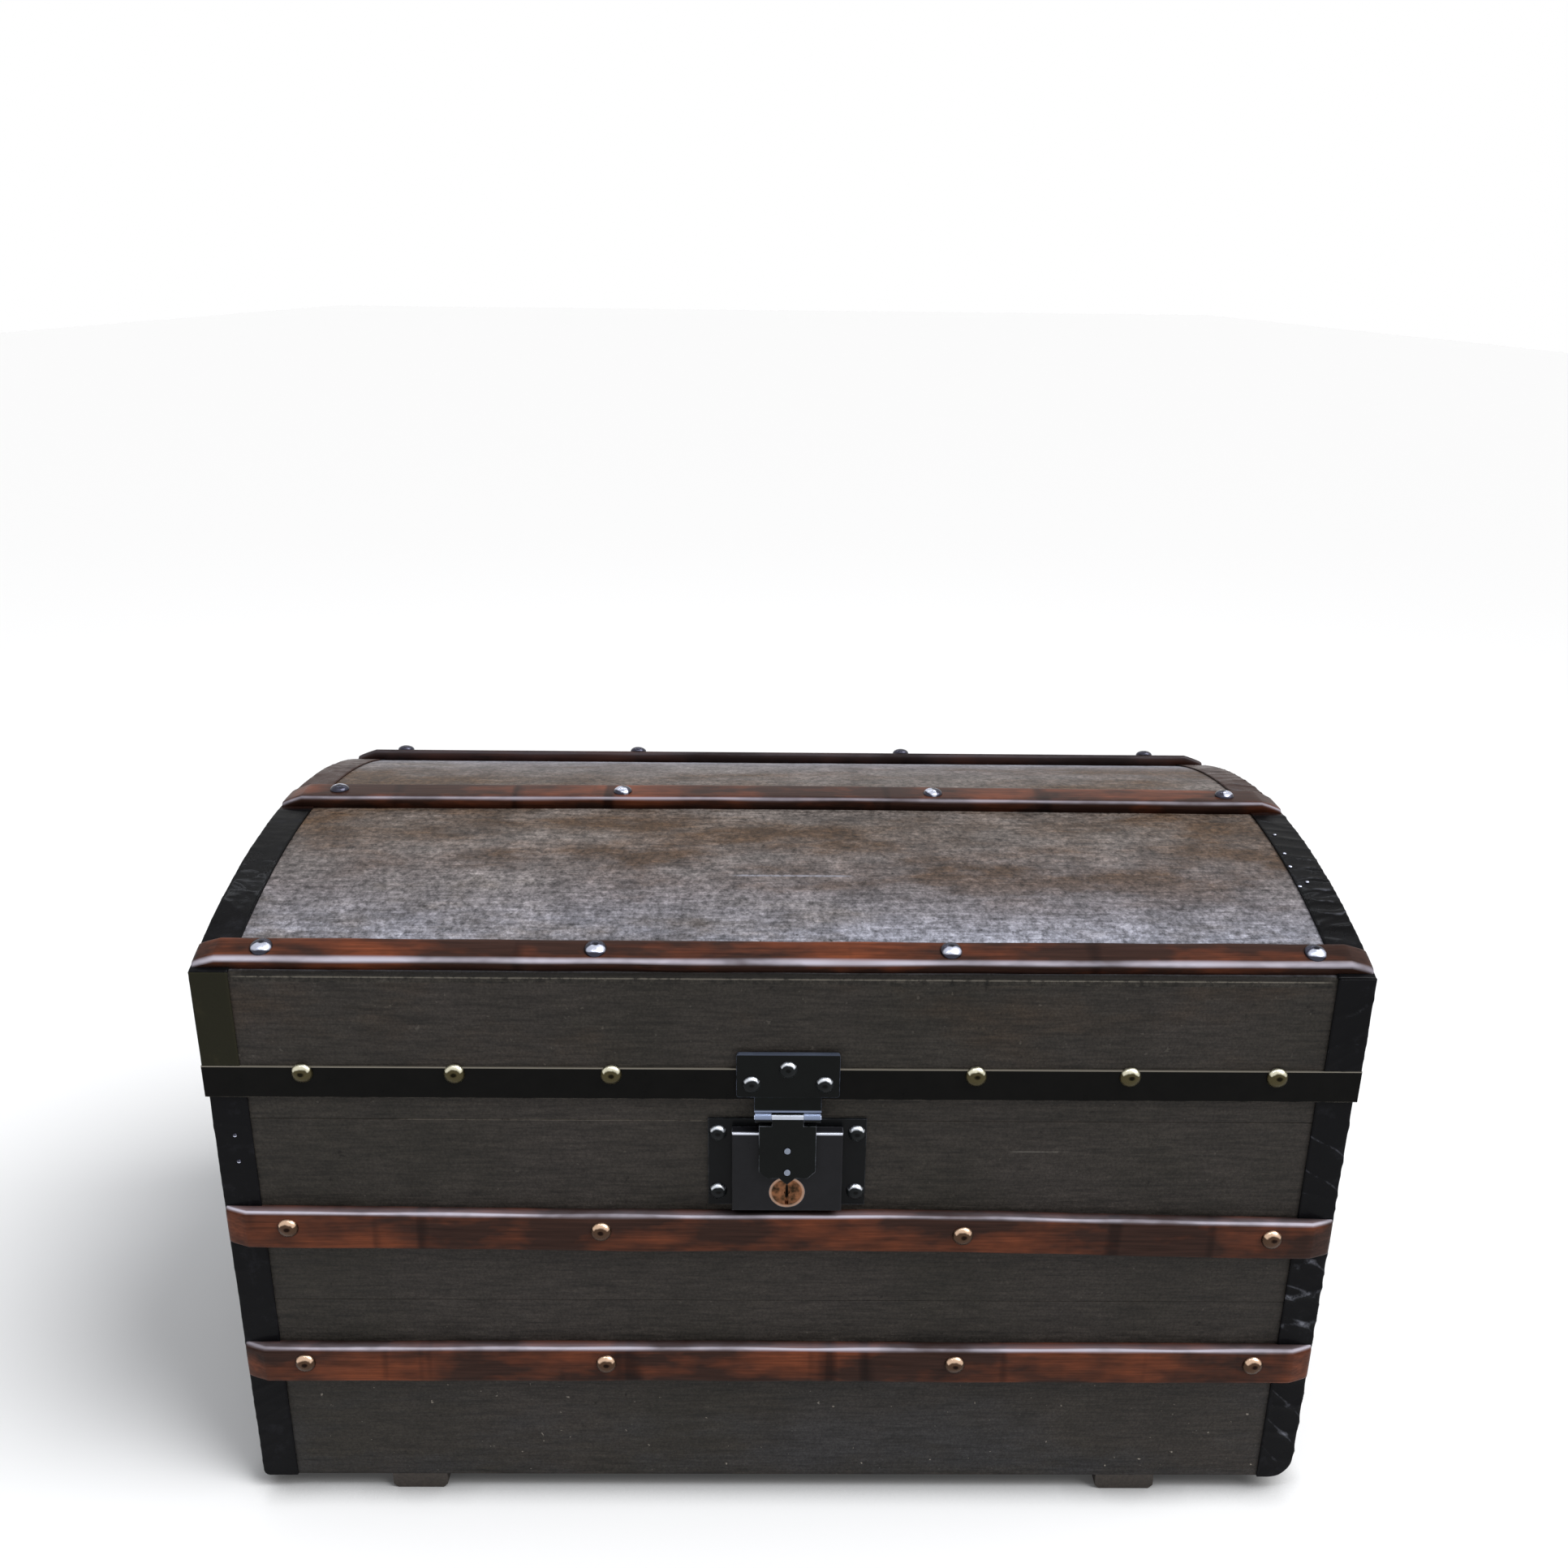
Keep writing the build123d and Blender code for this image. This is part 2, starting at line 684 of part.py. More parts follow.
# Lid walls
with BuildPart() as lid_front_board:
    dome_section(-dome_thickness, (-lid_half_width, lid_half_width))
    block(
        (-lid_half_width, lid_half_width),
        (lid_front, lid_front + board),
        (lid_bottom, lid_corner_z + dome_rise),
        mode=Mode.INTERSECT,
    )
    add(lid_holes, mode=Mode.SUBTRACT)
write(lid_front_board.part, "lid_front_board")

with BuildPart() as lid_back_board:
    dome_section(-dome_thickness, (-lid_half_width, lid_half_width))
    block(
        (-lid_half_width, lid_half_width),
        (lid_back - board, lid_back),
        (lid_bottom, lid_corner_z + dome_rise),
        mode=Mode.INTERSECT,
    )
    add(lid_holes, mode=Mode.SUBTRACT)
write(lid_back_board.part, "lid_back_board")

for side, name in ((-1, "lid_left_end"), (1, "lid_right_end")):
    end_x = sorted((side * (lid_half_width - board), side * lid_half_width))
    with BuildPart() as lid_end:
        dome_section(-dome_thickness, end_x)
        block(
            end_x,
            (lid_front + board, lid_back - board),
            (lid_bottom, lid_corner_z + dome_rise),
            mode=Mode.INTERSECT,
        )
        add(lid_holes, mode=Mode.SUBTRACT)
    write(lid_end.part, name)

# Two thin boards bent over the end boards, meeting under the centre slat
dome_halves = {
    "dome_panel_front": (lid_front, dome_y),
    "dome_panel_back": (dome_y, lid_back),
}
for name, y in dome_halves.items():
    with BuildPart() as dome_panel:
        dome_section(0, (-lid_half_width, lid_half_width))
        dome_section(-dome_thickness, (-lid_half_width, lid_half_width), mode=Mode.SUBTRACT)
        block(
            (-lid_half_width, lid_half_width),
            y,
            (lid_bottom, lid_corner_z + 2 * dome_rise),
            mode=Mode.INTERSECT,
        )
        add(lid_slat_holes, mode=Mode.SUBTRACT)
    write(dome_panel.part, name)

# Bindings over the dome's two curved edges, folded down on the ends
lid_bindings = []
for side, side_name in ((-1, "left"), (1, "right")):
    outer_x = side * (lid_half_width + binding_thickness)
    inner_edge_x = side * (lid_half_width - binding_width)
    with BuildPart() as arc_binding:
        dome_section(binding_thickness, sorted((inner_edge_x, outer_x)))
        dome_section(0, sorted((0, side * lid_half_width)), mode=Mode.SUBTRACT)
        dome_section(
            -binding_width, sorted((0, side * (lid_half_width + 2 * binding_thickness))), mode=Mode.SUBTRACT
        )
    write(arc_binding.part, f"lid_arc_binding_{side_name}")
    lid_bindings.append(arc_binding.part)
    with BuildPart() as lid_corner:
        block(
            sorted((inner_edge_x, outer_x)),
            (lid_front - binding_thickness, lid_front + binding_width),
            (band_top, lid_corner_z),
        )
        block(
            sorted((0, side * lid_half_width)),
            (lid_front, lid_back),
            (lid_bottom, lid_corner_z + dome_rise),
            mode=Mode.SUBTRACT,
        )
        add(arc_binding.part, mode=Mode.SUBTRACT)
    write(lid_corner.part, f"lid_corner_binding_front_{side_name}")
    with BuildPart() as lid_back_corner:
        block(
            sorted((inner_edge_x, outer_x)),
            (lid_back - binding_width, lid_back + binding_thickness),
            (band_top, lid_corner_z),
        )
        block(
            sorted((0, side * lid_half_width)),
            (lid_front, lid_back),
            (lid_bottom, lid_corner_z + dome_rise),
            mode=Mode.SUBTRACT,
        )
        add(arc_binding.part, mode=Mode.SUBTRACT)
    write(lid_back_corner.part, f"lid_corner_binding_back_{side_name}")

# Three slats along the dome, over the bindings
lid_slats = {
    "lid_slat_front": (corner_slat_y, corner_slat_width),
    "lid_slat_centre": (dome_y, slat_width),
    "lid_slat_back": (back_corner_slat_y, corner_slat_width),
}
for name, (y, width) in lid_slats.items():
    with BuildPart() as lid_slat:
        add(slat(dome_seat(y), width, 2 * lid_half_width, sink=cut_past))
        dome_section(0, (-lid_half_width, lid_half_width), mode=Mode.SUBTRACT)
        add(lid_bindings, mode=Mode.SUBTRACT)
        add(lid_slat_holes, mode=Mode.SUBTRACT)
    write(lid_slat.part, name)

lid_nail = nail(
    nail_head_radius, nail_head_height, nail_shank_radius, slat_thickness + dome_thickness - 0.5
)
write(placed(lid_nail, lid_slat_seats), "lid_slat_nails")

# Band of sheet metal nailed round the lid's lower edge, hanging over the joint
with BuildPart() as band_front:
    block(
        (-lid_half_width - band_thickness, lid_half_width + band_thickness),
        (band_front_y, lid_front),
        (band_bottom, band_top),
    )
    add([band_holes, hasp_holes], mode=Mode.SUBTRACT)
write(band_front.part, "band_front")

for side, name in ((-1, "band_left"), (1, "band_right")):
    with BuildPart() as band_end:
        block(
            sorted((side * lid_half_width, side * (lid_half_width + band_thickness))),
            (lid_front, lid_back - band_back_margin),
            (band_bottom, band_top),
        )
        add(band_holes, mode=Mode.SUBTRACT)
    write(band_end.part, name)

band_nail = nail(nail_head_radius, nail_head_height, nail_shank_radius, band_nail_shank_length)
write(placed(band_nail, band_nail_seats), "band_nails")

# Hasp plate, nailed over the band, cranked forward at its foot to two knuckles
neck_half = hasp_neck_width / 2
knuckle_outer = neck_half - hasp_knuckle_margin
knuckle_inner = knuckle_outer - hasp_knuckle_length
crank_foot_z = hasp_pin_z + hasp_knuckle_radius + hasp_knuckle_margin
with BuildPart() as hasp_plate:
    block(
        (lock_x - hasp_width / 2, lock_x + hasp_width / 2),
        (hasp_front_y, band_front_y),
        (hasp_shoulder, hasp_top),
    )
    upright = hasp_plate.edges().filter_by(Axis.Y)
    fillet(upright, hasp_thickness)
    block(
        (lock_x - hasp_width / 2 + hasp_thickness, lock_x + hasp_width / 2 - hasp_thickness),
        (band_front_y, lid_front),
        (band_top + running_gap, hasp_top - hasp_thickness),
    )
    with BuildSketch(Plane.YZ.offset(lock_x - neck_half)):
        with BuildLine():
            Polyline(
                (band_front_y, hasp_shoulder + hasp_thickness),
                (band_front_y, hasp_shoulder),
                (hasp_front_y - hasp_crank_overlap, crank_foot_z),
                (hasp_pin_y - hasp_crank_overlap, crank_foot_z),
                (hasp_front_y, hasp_shoulder),
                (hasp_front_y, hasp_shoulder + hasp_thickness),
                close=True,
            )
        make_face()
    extrude(amount=hasp_neck_width)
    for side in (-1, 1):
        low_x, high_x = sorted((lock_x + side * knuckle_inner, lock_x + side * knuckle_outer))
        with BuildSketch(Plane.YZ.offset(low_x)):
            with Locations((hasp_pin_y, hasp_pin_z)):
                Circle(hasp_knuckle_radius)
            with Locations((hasp_pin_y + hasp_knuckle_radius / 2, (hasp_pin_z + crank_foot_z) / 2)):
                Rectangle(hasp_knuckle_radius, crank_foot_z - hasp_pin_z)
        extrude(amount=high_x - low_x)
    with BuildSketch(Plane.YZ.offset(lock_x - neck_half)):
        with Locations((hasp_pin_y, hasp_pin_z)):
            Circle(hasp_pin_radius + fit_gap)
    extrude(amount=hasp_neck_width, mode=Mode.SUBTRACT)
    add(hasp_holes, mode=Mode.SUBTRACT)
write(hasp_plate.part, "hasp_plate")

with BuildPart() as hasp_pin:
    with BuildSketch(Plane.YZ.offset(lock_x - neck_half)):
        with Locations((hasp_pin_y, hasp_pin_z)):
            Circle(hasp_pin_radius)
    extrude(amount=hasp_neck_width)
write(hasp_pin.part, "hasp_pin")

write(placed(black_nail, hasp_nail_seats), "hasp_nails")

# Tongue hanging from the pin over the lock case, with a pointed foot
tongue_half = tongue_width / 2
tongue_top = hasp_pin_z - hasp_knuckle_radius - tongue_top_gap
tongue_foot = tongue_tip_z + tongue_point_height
tongue_knuckle_half = knuckle_inner - running_gap
staple_rivet_seats = [front_seat(lock_x, z, tongue_front_y) for z in (staple_low_z, staple_high_z)]
with BuildPart() as hasp_tongue:
    with BuildSketch(Plane.XZ.offset(-tongue_back_y)):
        with BuildLine():
            Polyline(
                (lock_x - tongue_knuckle_half, hasp_pin_z),
                (lock_x - tongue_knuckle_half, tongue_top),
                (lock_x - tongue_half, tongue_top),
                (lock_x - tongue_half, tongue_foot + tongue_corner_cut),
                (lock_x - tongue_half + tongue_corner_cut, tongue_foot),
                (lock_x - tongue_corner_cut, tongue_foot),
                (lock_x, tongue_tip_z),
                (lock_x + tongue_corner_cut, tongue_foot),
                (lock_x + tongue_half - tongue_corner_cut, tongue_foot),
                (lock_x + tongue_half, tongue_foot + tongue_corner_cut),
                (lock_x + tongue_half, tongue_top),
                (lock_x + tongue_knuckle_half, tongue_top),
                (lock_x + tongue_knuckle_half, hasp_pin_z),
                close=True,
            )
        make_face()
    extrude(amount=tongue_thickness)
    with BuildSketch(Plane.YZ.offset(lock_x - tongue_knuckle_half)):
        with Locations((hasp_pin_y, hasp_pin_z)):
            Circle(hasp_knuckle_radius)
    extrude(amount=2 * tongue_knuckle_half)
    with BuildSketch(Plane.YZ.offset(lock_x - tongue_knuckle_half)):
        with Locations((hasp_pin_y, hasp_pin_z)):
            Circle(hasp_pin_radius + fit_gap)
    extrude(amount=2 * tongue_knuckle_half, mode=Mode.SUBTRACT)
    with Locations(*staple_rivet_seats):
        Cylinder(staple_leg / 2 + hole_clearance, 4 * tongue_thickness, mode=Mode.SUBTRACT)
write(hasp_tongue.part, "hasp_tongue")

# Staple behind the tongue, riveted through it: two legs and a bar round the bolt's path
staple_end_y = plate_front_y - staple_end_gap
with BuildPart() as hasp_staple:
    for z in (staple_low_z, staple_high_z):
        block(
            (lock_x - staple_width / 2, lock_x + staple_width / 2),
            (tongue_back_y, staple_end_y),
            (z - staple_leg / 2, z + staple_leg / 2),
        )
        with BuildSketch(front_seat(lock_x, z, tongue_back_y)):
            Circle(staple_leg / 2)
        extrude(amount=tongue_thickness)
        with BuildSketch(front_seat(lock_x, z, tongue_front_y)):
            Circle(rivet_radius)
        extrude(amount=rivet_height)
    block(
        (lock_x - staple_width / 2, lock_x + staple_width / 2),
        (staple_end_y - staple_bar, staple_end_y),
        (staple_low_z - staple_leg / 2, staple_high_z + staple_leg / 2),
    )
write(hasp_staple.part, "hasp_staple")

# Hinges behind: a leaf on the box and a leaf on the lid, on one pin.
# Teeth beside the middle knuckle meet when the lid is just past upright, and hold it there
barrel_reach = hinge_barrel_radius + hinge_barrel_gap
middle_half = hinge_middle_knuckle / 2
tooth_angle = (360 - hinge_opening - 2 * hinge_tooth_margin) / 2
tooth_core = hinge_pin_radius + fit_gap


def tooth(u, length, start_angle, mode=Mode.ADD):
    """A toothed ring from one knuckle's end: a sector about the pin.

    Angles start at the front, in the YZ plane, and grow upwards as the lid opens.
    """
    with BuildSketch(Plane.YZ.offset(u)) as ring:
        with BuildLine():
            steps = [start_angle, start_angle + tooth_angle / 2, start_angle + tooth_angle]
            points = [
                (
                    hinge_y - hinge_barrel_radius * cos(radians(step)),
                    hinge_z + hinge_barrel_radius * sin(radians(step)),
                )
                for step in steps
            ]
            rim = ThreePointArc(*points)
            Line(rim @ 1, (hinge_y, hinge_z))
            Line((hinge_y, hinge_z), rim @ 0)
        make_face()
        with Locations((hinge_y, hinge_z)):
            Circle(tooth_core, mode=Mode.SUBTRACT)
    extrude(ring.sketch, amount=length, mode=mode)


def knuckle(low, high, leaf_z):
    """A knuckle round the pin between two places, joined to its leaf."""
    with BuildSketch(Plane.YZ.offset(low)) as outline:
        with Locations((hinge_y, hinge_z)):
            Circle(hinge_barrel_radius)
        with Locations((half_depth + hinge_leaf_thickness / 2, (hinge_z + leaf_z) / 2)):
            Rectangle(hinge_leaf_thickness, abs(leaf_z - hinge_z))
        with Locations((hinge_y, hinge_z)):
            Circle(hinge_pin_radius + fit_gap, mode=Mode.SUBTRACT)
    extrude(outline.sketch, amount=high - low)


body_tooth_start = 180.0
lid_tooth_start = body_tooth_start + tooth_angle + hinge_tooth_margin - 360
for side, side_name in ((-1, "left"), (1, "right")):
    x = side * hinge_x
    with BuildPart() as body_leaf:
        block(
            (x - hinge_width / 2, x + hinge_width / 2),
            (half_depth, leaf_back_y),
            (body_leaf_low, hinge_z - barrel_reach),
        )
        knuckle(x - middle_half, x + middle_half, hinge_z - barrel_reach - cut_past)
        tooth(x - middle_half - hinge_tooth_length + running_gap, hinge_tooth_length, body_tooth_start)
        add(screw_holes, mode=Mode.SUBTRACT)
    write(body_leaf.part, f"hinge_{side_name}_body_leaf")
    with BuildPart() as lid_leaf:
        block(
            (x - hinge_width / 2, x + hinge_width / 2),
            (half_depth, leaf_back_y),
            (hinge_z + barrel_reach, lid_leaf_high),
        )
        low_knuckle_end = x - middle_half - hinge_tooth_length - running_gap
        knuckle(x - hinge_width / 2, low_knuckle_end, hinge_z + barrel_reach + cut_past)
        knuckle(x + middle_half + running_gap, x + hinge_width / 2, hinge_z + barrel_reach + cut_past)
        tooth(low_knuckle_end, hinge_tooth_length, lid_tooth_start)
        add(lid_screw_holes, mode=Mode.SUBTRACT)
    write(lid_leaf.part, f"hinge_{side_name}_lid_leaf")

with BuildPart() as hinge_pins:
    for side in (-1, 1):
        with BuildSketch(Plane.YZ.offset(side * hinge_x - hinge_width / 2)):
            with Locations((hinge_y, hinge_z)):
                Circle(hinge_pin_radius)
        extrude(amount=hinge_width)
write(hinge_pins.part, "hinge_pins")

screw = nail(screw_head_radius, screw_head_height, screw_shank_radius, screw_shank_length)
runner_screw = nail(screw_head_radius, screw_head_height, screw_shank_radius, runner_screw_length)
with BuildPart() as body_screws:
    add(placed(screw, body_screw_seats))
    add(placed(runner_screw, runner_screw_seats))
write(body_screws.part, "body_screws")
write(placed(screw, lid_screw_seats), "lid_hinge_screws")

# Drop handles on the ends: a plate with two ears, and a bent rod that hangs between them
ear_inner_y = handle_span / 2 + handle_rod_radius + handle_ear_gap
ear_outer_y = ear_inner_y + handle_ear_thickness
rod_end_y = ear_outer_y + handle_rod_end
for side, side_name in ((-1, "left"), (1, "right")):
    rod_x = side * (half_width + handle_standoff)
    with BuildPart() as handle_plate:
        block(
            sorted((side * half_width, side * (half_width + handle_plate_thickness))),
            (-handle_plate_width / 2, handle_plate_width / 2),
            (handle_z - handle_plate_height / 2, handle_z + handle_plate_height / 2),
        )
        corners = handle_plate.edges().filter_by(Axis.X)
        fillet(corners, handle_plate_height / 4)
        for ear_y in (-ear_outer_y, ear_inner_y):
            with BuildSketch(Plane.XZ.offset(-ear_y - handle_ear_thickness)):
                with Locations((rod_x, handle_z)):
                    Circle(handle_ear_radius)
                with Locations(((rod_x + side * half_width) / 2, handle_z)):
                    Rectangle(handle_standoff, 2 * handle_ear_radius)
            extrude(amount=handle_ear_thickness)
        block(
            sorted((side * half_width, 0)),
            (-half_depth, half_depth),
            (handle_z - handle_plate_height, handle_z + handle_plate_height),
            mode=Mode.SUBTRACT,
        )
        with BuildSketch(Plane.XZ.offset(-half_depth)):
            with Locations((rod_x, handle_z)):
                Circle(handle_rod_radius + fit_gap)
        extrude(amount=box_depth, mode=Mode.SUBTRACT)
        add(screw_holes, mode=Mode.SUBTRACT)
    write(handle_plate.part, f"handle_{side_name}_plate")
    with BuildPart() as handle:
        with BuildLine(Plane.YZ.offset(rod_x)) as path:
            FilletPolyline(
                (-rod_end_y, handle_z),
                (-handle_span / 2, handle_z),
                (-handle_span / 2, handle_z - handle_drop),
                (handle_span / 2, handle_z - handle_drop),
                (handle_span / 2, handle_z),
                (rod_end_y, handle_z),
                radius=handle_bend_radius,
            )
        with BuildSketch(Plane.XZ.offset(rod_end_y)):
            with Locations((rod_x, handle_z)):
                Circle(handle_rod_radius)
        sweep()
    write(handle.part, f"handle_{side_name}")
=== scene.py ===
from math import asin, cos, pi, radians, sin

import bmesh
import bpy
import numpy as np
from mathutils import Matrix, Vector


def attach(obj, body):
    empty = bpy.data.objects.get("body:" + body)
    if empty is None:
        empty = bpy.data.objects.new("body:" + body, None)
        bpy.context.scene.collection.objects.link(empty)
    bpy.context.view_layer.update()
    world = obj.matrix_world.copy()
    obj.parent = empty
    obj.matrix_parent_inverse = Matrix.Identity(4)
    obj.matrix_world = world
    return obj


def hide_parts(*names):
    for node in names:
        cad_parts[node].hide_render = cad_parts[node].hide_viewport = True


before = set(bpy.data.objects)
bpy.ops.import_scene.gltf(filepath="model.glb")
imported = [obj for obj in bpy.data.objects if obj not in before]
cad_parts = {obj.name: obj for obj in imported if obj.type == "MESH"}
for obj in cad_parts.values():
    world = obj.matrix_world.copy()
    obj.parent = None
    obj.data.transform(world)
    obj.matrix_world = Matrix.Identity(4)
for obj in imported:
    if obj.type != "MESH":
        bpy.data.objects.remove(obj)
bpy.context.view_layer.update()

# The view
# The trunk was looked at from a little above and almost straight in front. The lens, the place
# and the three turns come from fitting the box's corners and the lid's arc.
focal_pixels, image_pixels, sensor_width = 1749.69, 1932, 36
camera_place = (-0.01084, -0.94654, 0.78799)
look_down, look_aside, lean = 0.347381, 0.011714, 0.011302
forward = Vector((sin(look_aside) * cos(look_down), cos(look_aside) * cos(look_down), -sin(look_down)))
level = Vector((cos(look_aside), -sin(look_aside), 0))
above = level.cross(forward)
right = level * cos(lean) + above * sin(lean)
upward = above * cos(lean) - level * sin(lean)
camera_axes = Matrix((right, upward, -forward)).transposed().to_4x4()
camera = bpy.data.objects.new("camera", bpy.data.cameras.new("camera"))
camera.data.lens = focal_pixels / image_pixels * sensor_width
camera.matrix_world = Matrix.Translation(camera_place) @ camera_axes
bpy.context.scene.collection.objects.link(camera)
bpy.context.scene.camera = camera
bpy.context.scene.view_settings.view_transform = "Standard"


# The floor and the light
# White paper under soft light: an even sky, a wide soft sun from the upper right, and two long
# narrow lamps, overhead and behind, whose reflections run along the varnished edges.
def hex_colour(code):
    """An sRGB hex colour as linear red, green and blue with full cover."""
    srgb = np.array([int(code[i : i + 2], 16) for i in (1, 3, 5)]) / 255
    linear = np.where(srgb <= 0.04045, srgb / 12.92, ((srgb + 0.055) / 1.055) ** 2.4)
    return (*linear.tolist(), 1.0)


def node(tree, kind, inputs=(), output=0, **settings):
    """Adds a node with its settings, sets or links its inputs, given in order or by number or
    name, and returns one output. A colour mix takes its share at input 0 and its colours at 6
    and 7, and gives the mixed colour at output 2."""
    new = tree.nodes.new(f"ShaderNode{kind}")
    for name, value in settings.items():
        setattr(new, name, value)
    for name, value in inputs.items() if isinstance(inputs, dict) else enumerate(inputs):
        if isinstance(value, bpy.types.NodeSocket):
            tree.links.new(value, new.inputs[name])
        else:
            new.inputs[name].default_value = value
    return new.outputs[output]


def seen_white(tree):
    """1 for rays from the camera and for those that metal or glass sends on, else 0."""
    path = node(tree, "LightPath").node.outputs
    shiny = node(tree, "Math", (path["Is Glossy Ray"], path["Is Transmission Ray"]))
    return node(tree, "Math", (shiny, path["Is Camera Ray"]), use_clamp=True)


sky_level = 0.33
world = bpy.data.worlds.new("even_sky")
world.use_nodes = True
bpy.context.scene.world = world
tree = world.node_tree
sky = tree.nodes["Background"]
sky.inputs["Color"].default_value = (1, 1, 1, 1)
tree.links.new(node(tree, "MapRange", (seen_white(tree), 0, 1, sky_level, 1)), sky.inputs["Strength"])

# The paper is painted darker where the trunk hangs within a few centimetres over it: a painted contact
# shadow.
floor_lift, contact_reach = 0.04, 0.026
floor_material = bpy.data.materials.new("white_paper_sweep")
floor_material.use_nodes = True
tree = floor_material.node_tree
tree.nodes.remove(tree.nodes["Principled BSDF"])
openness = node(tree, "AmbientOcclusion", {"Distance": contact_reach}, "AO", samples=8)
openness = node(tree, "MapRange", (openness, 0.5, 0.9))
paper_colour = node(
    tree, "Mix", {0: openness, 6: hex_colour("#9a9a9a"), 7: hex_colour("#f0f0f0")}, 2, data_type="RGBA"
)
paper = node(tree, "BsdfDiffuse", (paper_colour,))
lift = node(tree, "Math", (seen_white(tree), floor_lift), operation="MULTIPLY")
glow = node(tree, "Emission", {"Strength": lift})
paper_and_glow = node(tree, "AddShader", (paper, glow))
tree.links.new(paper_and_glow, tree.nodes["Material Output"].inputs["Surface"])
floor_mesh = bpy.data.meshes.new("floor")
floor_mesh.from_pydata([(-9, -5, 0), (9, -5, 0), (9, 30, 0), (-9, 30, 0)], [], [(0, 1, 2, 3)])
floor_mesh.materials.append(floor_material)
floor = bpy.data.objects.new("floor", floor_mesh)
bpy.context.scene.collection.objects.link(floor)


def lamp(name, kind, place, aim, **settings):
    """A lamp at a place, turned towards a point."""
    new = bpy.data.objects.new(name, bpy.data.lights.new(name, kind))
    for key, value in settings.items():
        setattr(new.data, key, value)
    new.location = place
    new.rotation_euler = (Vector(aim) - Vector(place)).to_track_quat("-Z", "Y").to_euler()
    bpy.context.scene.collection.objects.link(new)


lamp("soft_key", "SUN", (1.35, -0.45, 1.9), (0, 0, 0.2), energy=3.0, angle=radians(40))
strip = {"shape": "RECTANGLE", "size_y": 0.05, "color": (0.88, 0.92, 1.0)}
lamp("overhead_softbox", "AREA", (0.1, -0.75, 1.95), (0, -0.15, 0.2), size=2.2, energy=9.0, **strip)
lamp("far_strip", "AREA", (0, 1.1, 1.9), (0, -0.1, 0.4), size=2.4, energy=7.0, **strip)


# Board walls, bottom and lid panels
# Pine boards, butted edge to edge and nailed, brushed outside with a thin grey-brown oil paint
# that has gone satin and lets the grain show. The inside was left bare.
def new_material(name, even=None):
    """A material with its shader, and the values that are the same all over it."""
    material = bpy.data.materials.new(name)
    material.use_nodes = True
    shader = material.node_tree.nodes["Principled BSDF"]
    for socket, value in (even or {}).items():
        shader.inputs[socket].default_value = value
    return material, material.node_tree, shader


def feed(shader, **sockets):
    """Links outputs to the shader's inputs. Base_Color stands for Base Color."""
    for name, socket in sockets.items():
        shader.id_data.links.new(socket, shader.inputs[name.replace("_", " ")])


def dress(material, *names):
    """Gives CAD nodes a finished material."""
    for name in names:
        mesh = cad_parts[name].data
        mesh.materials.clear()
        mesh.materials.append(material)


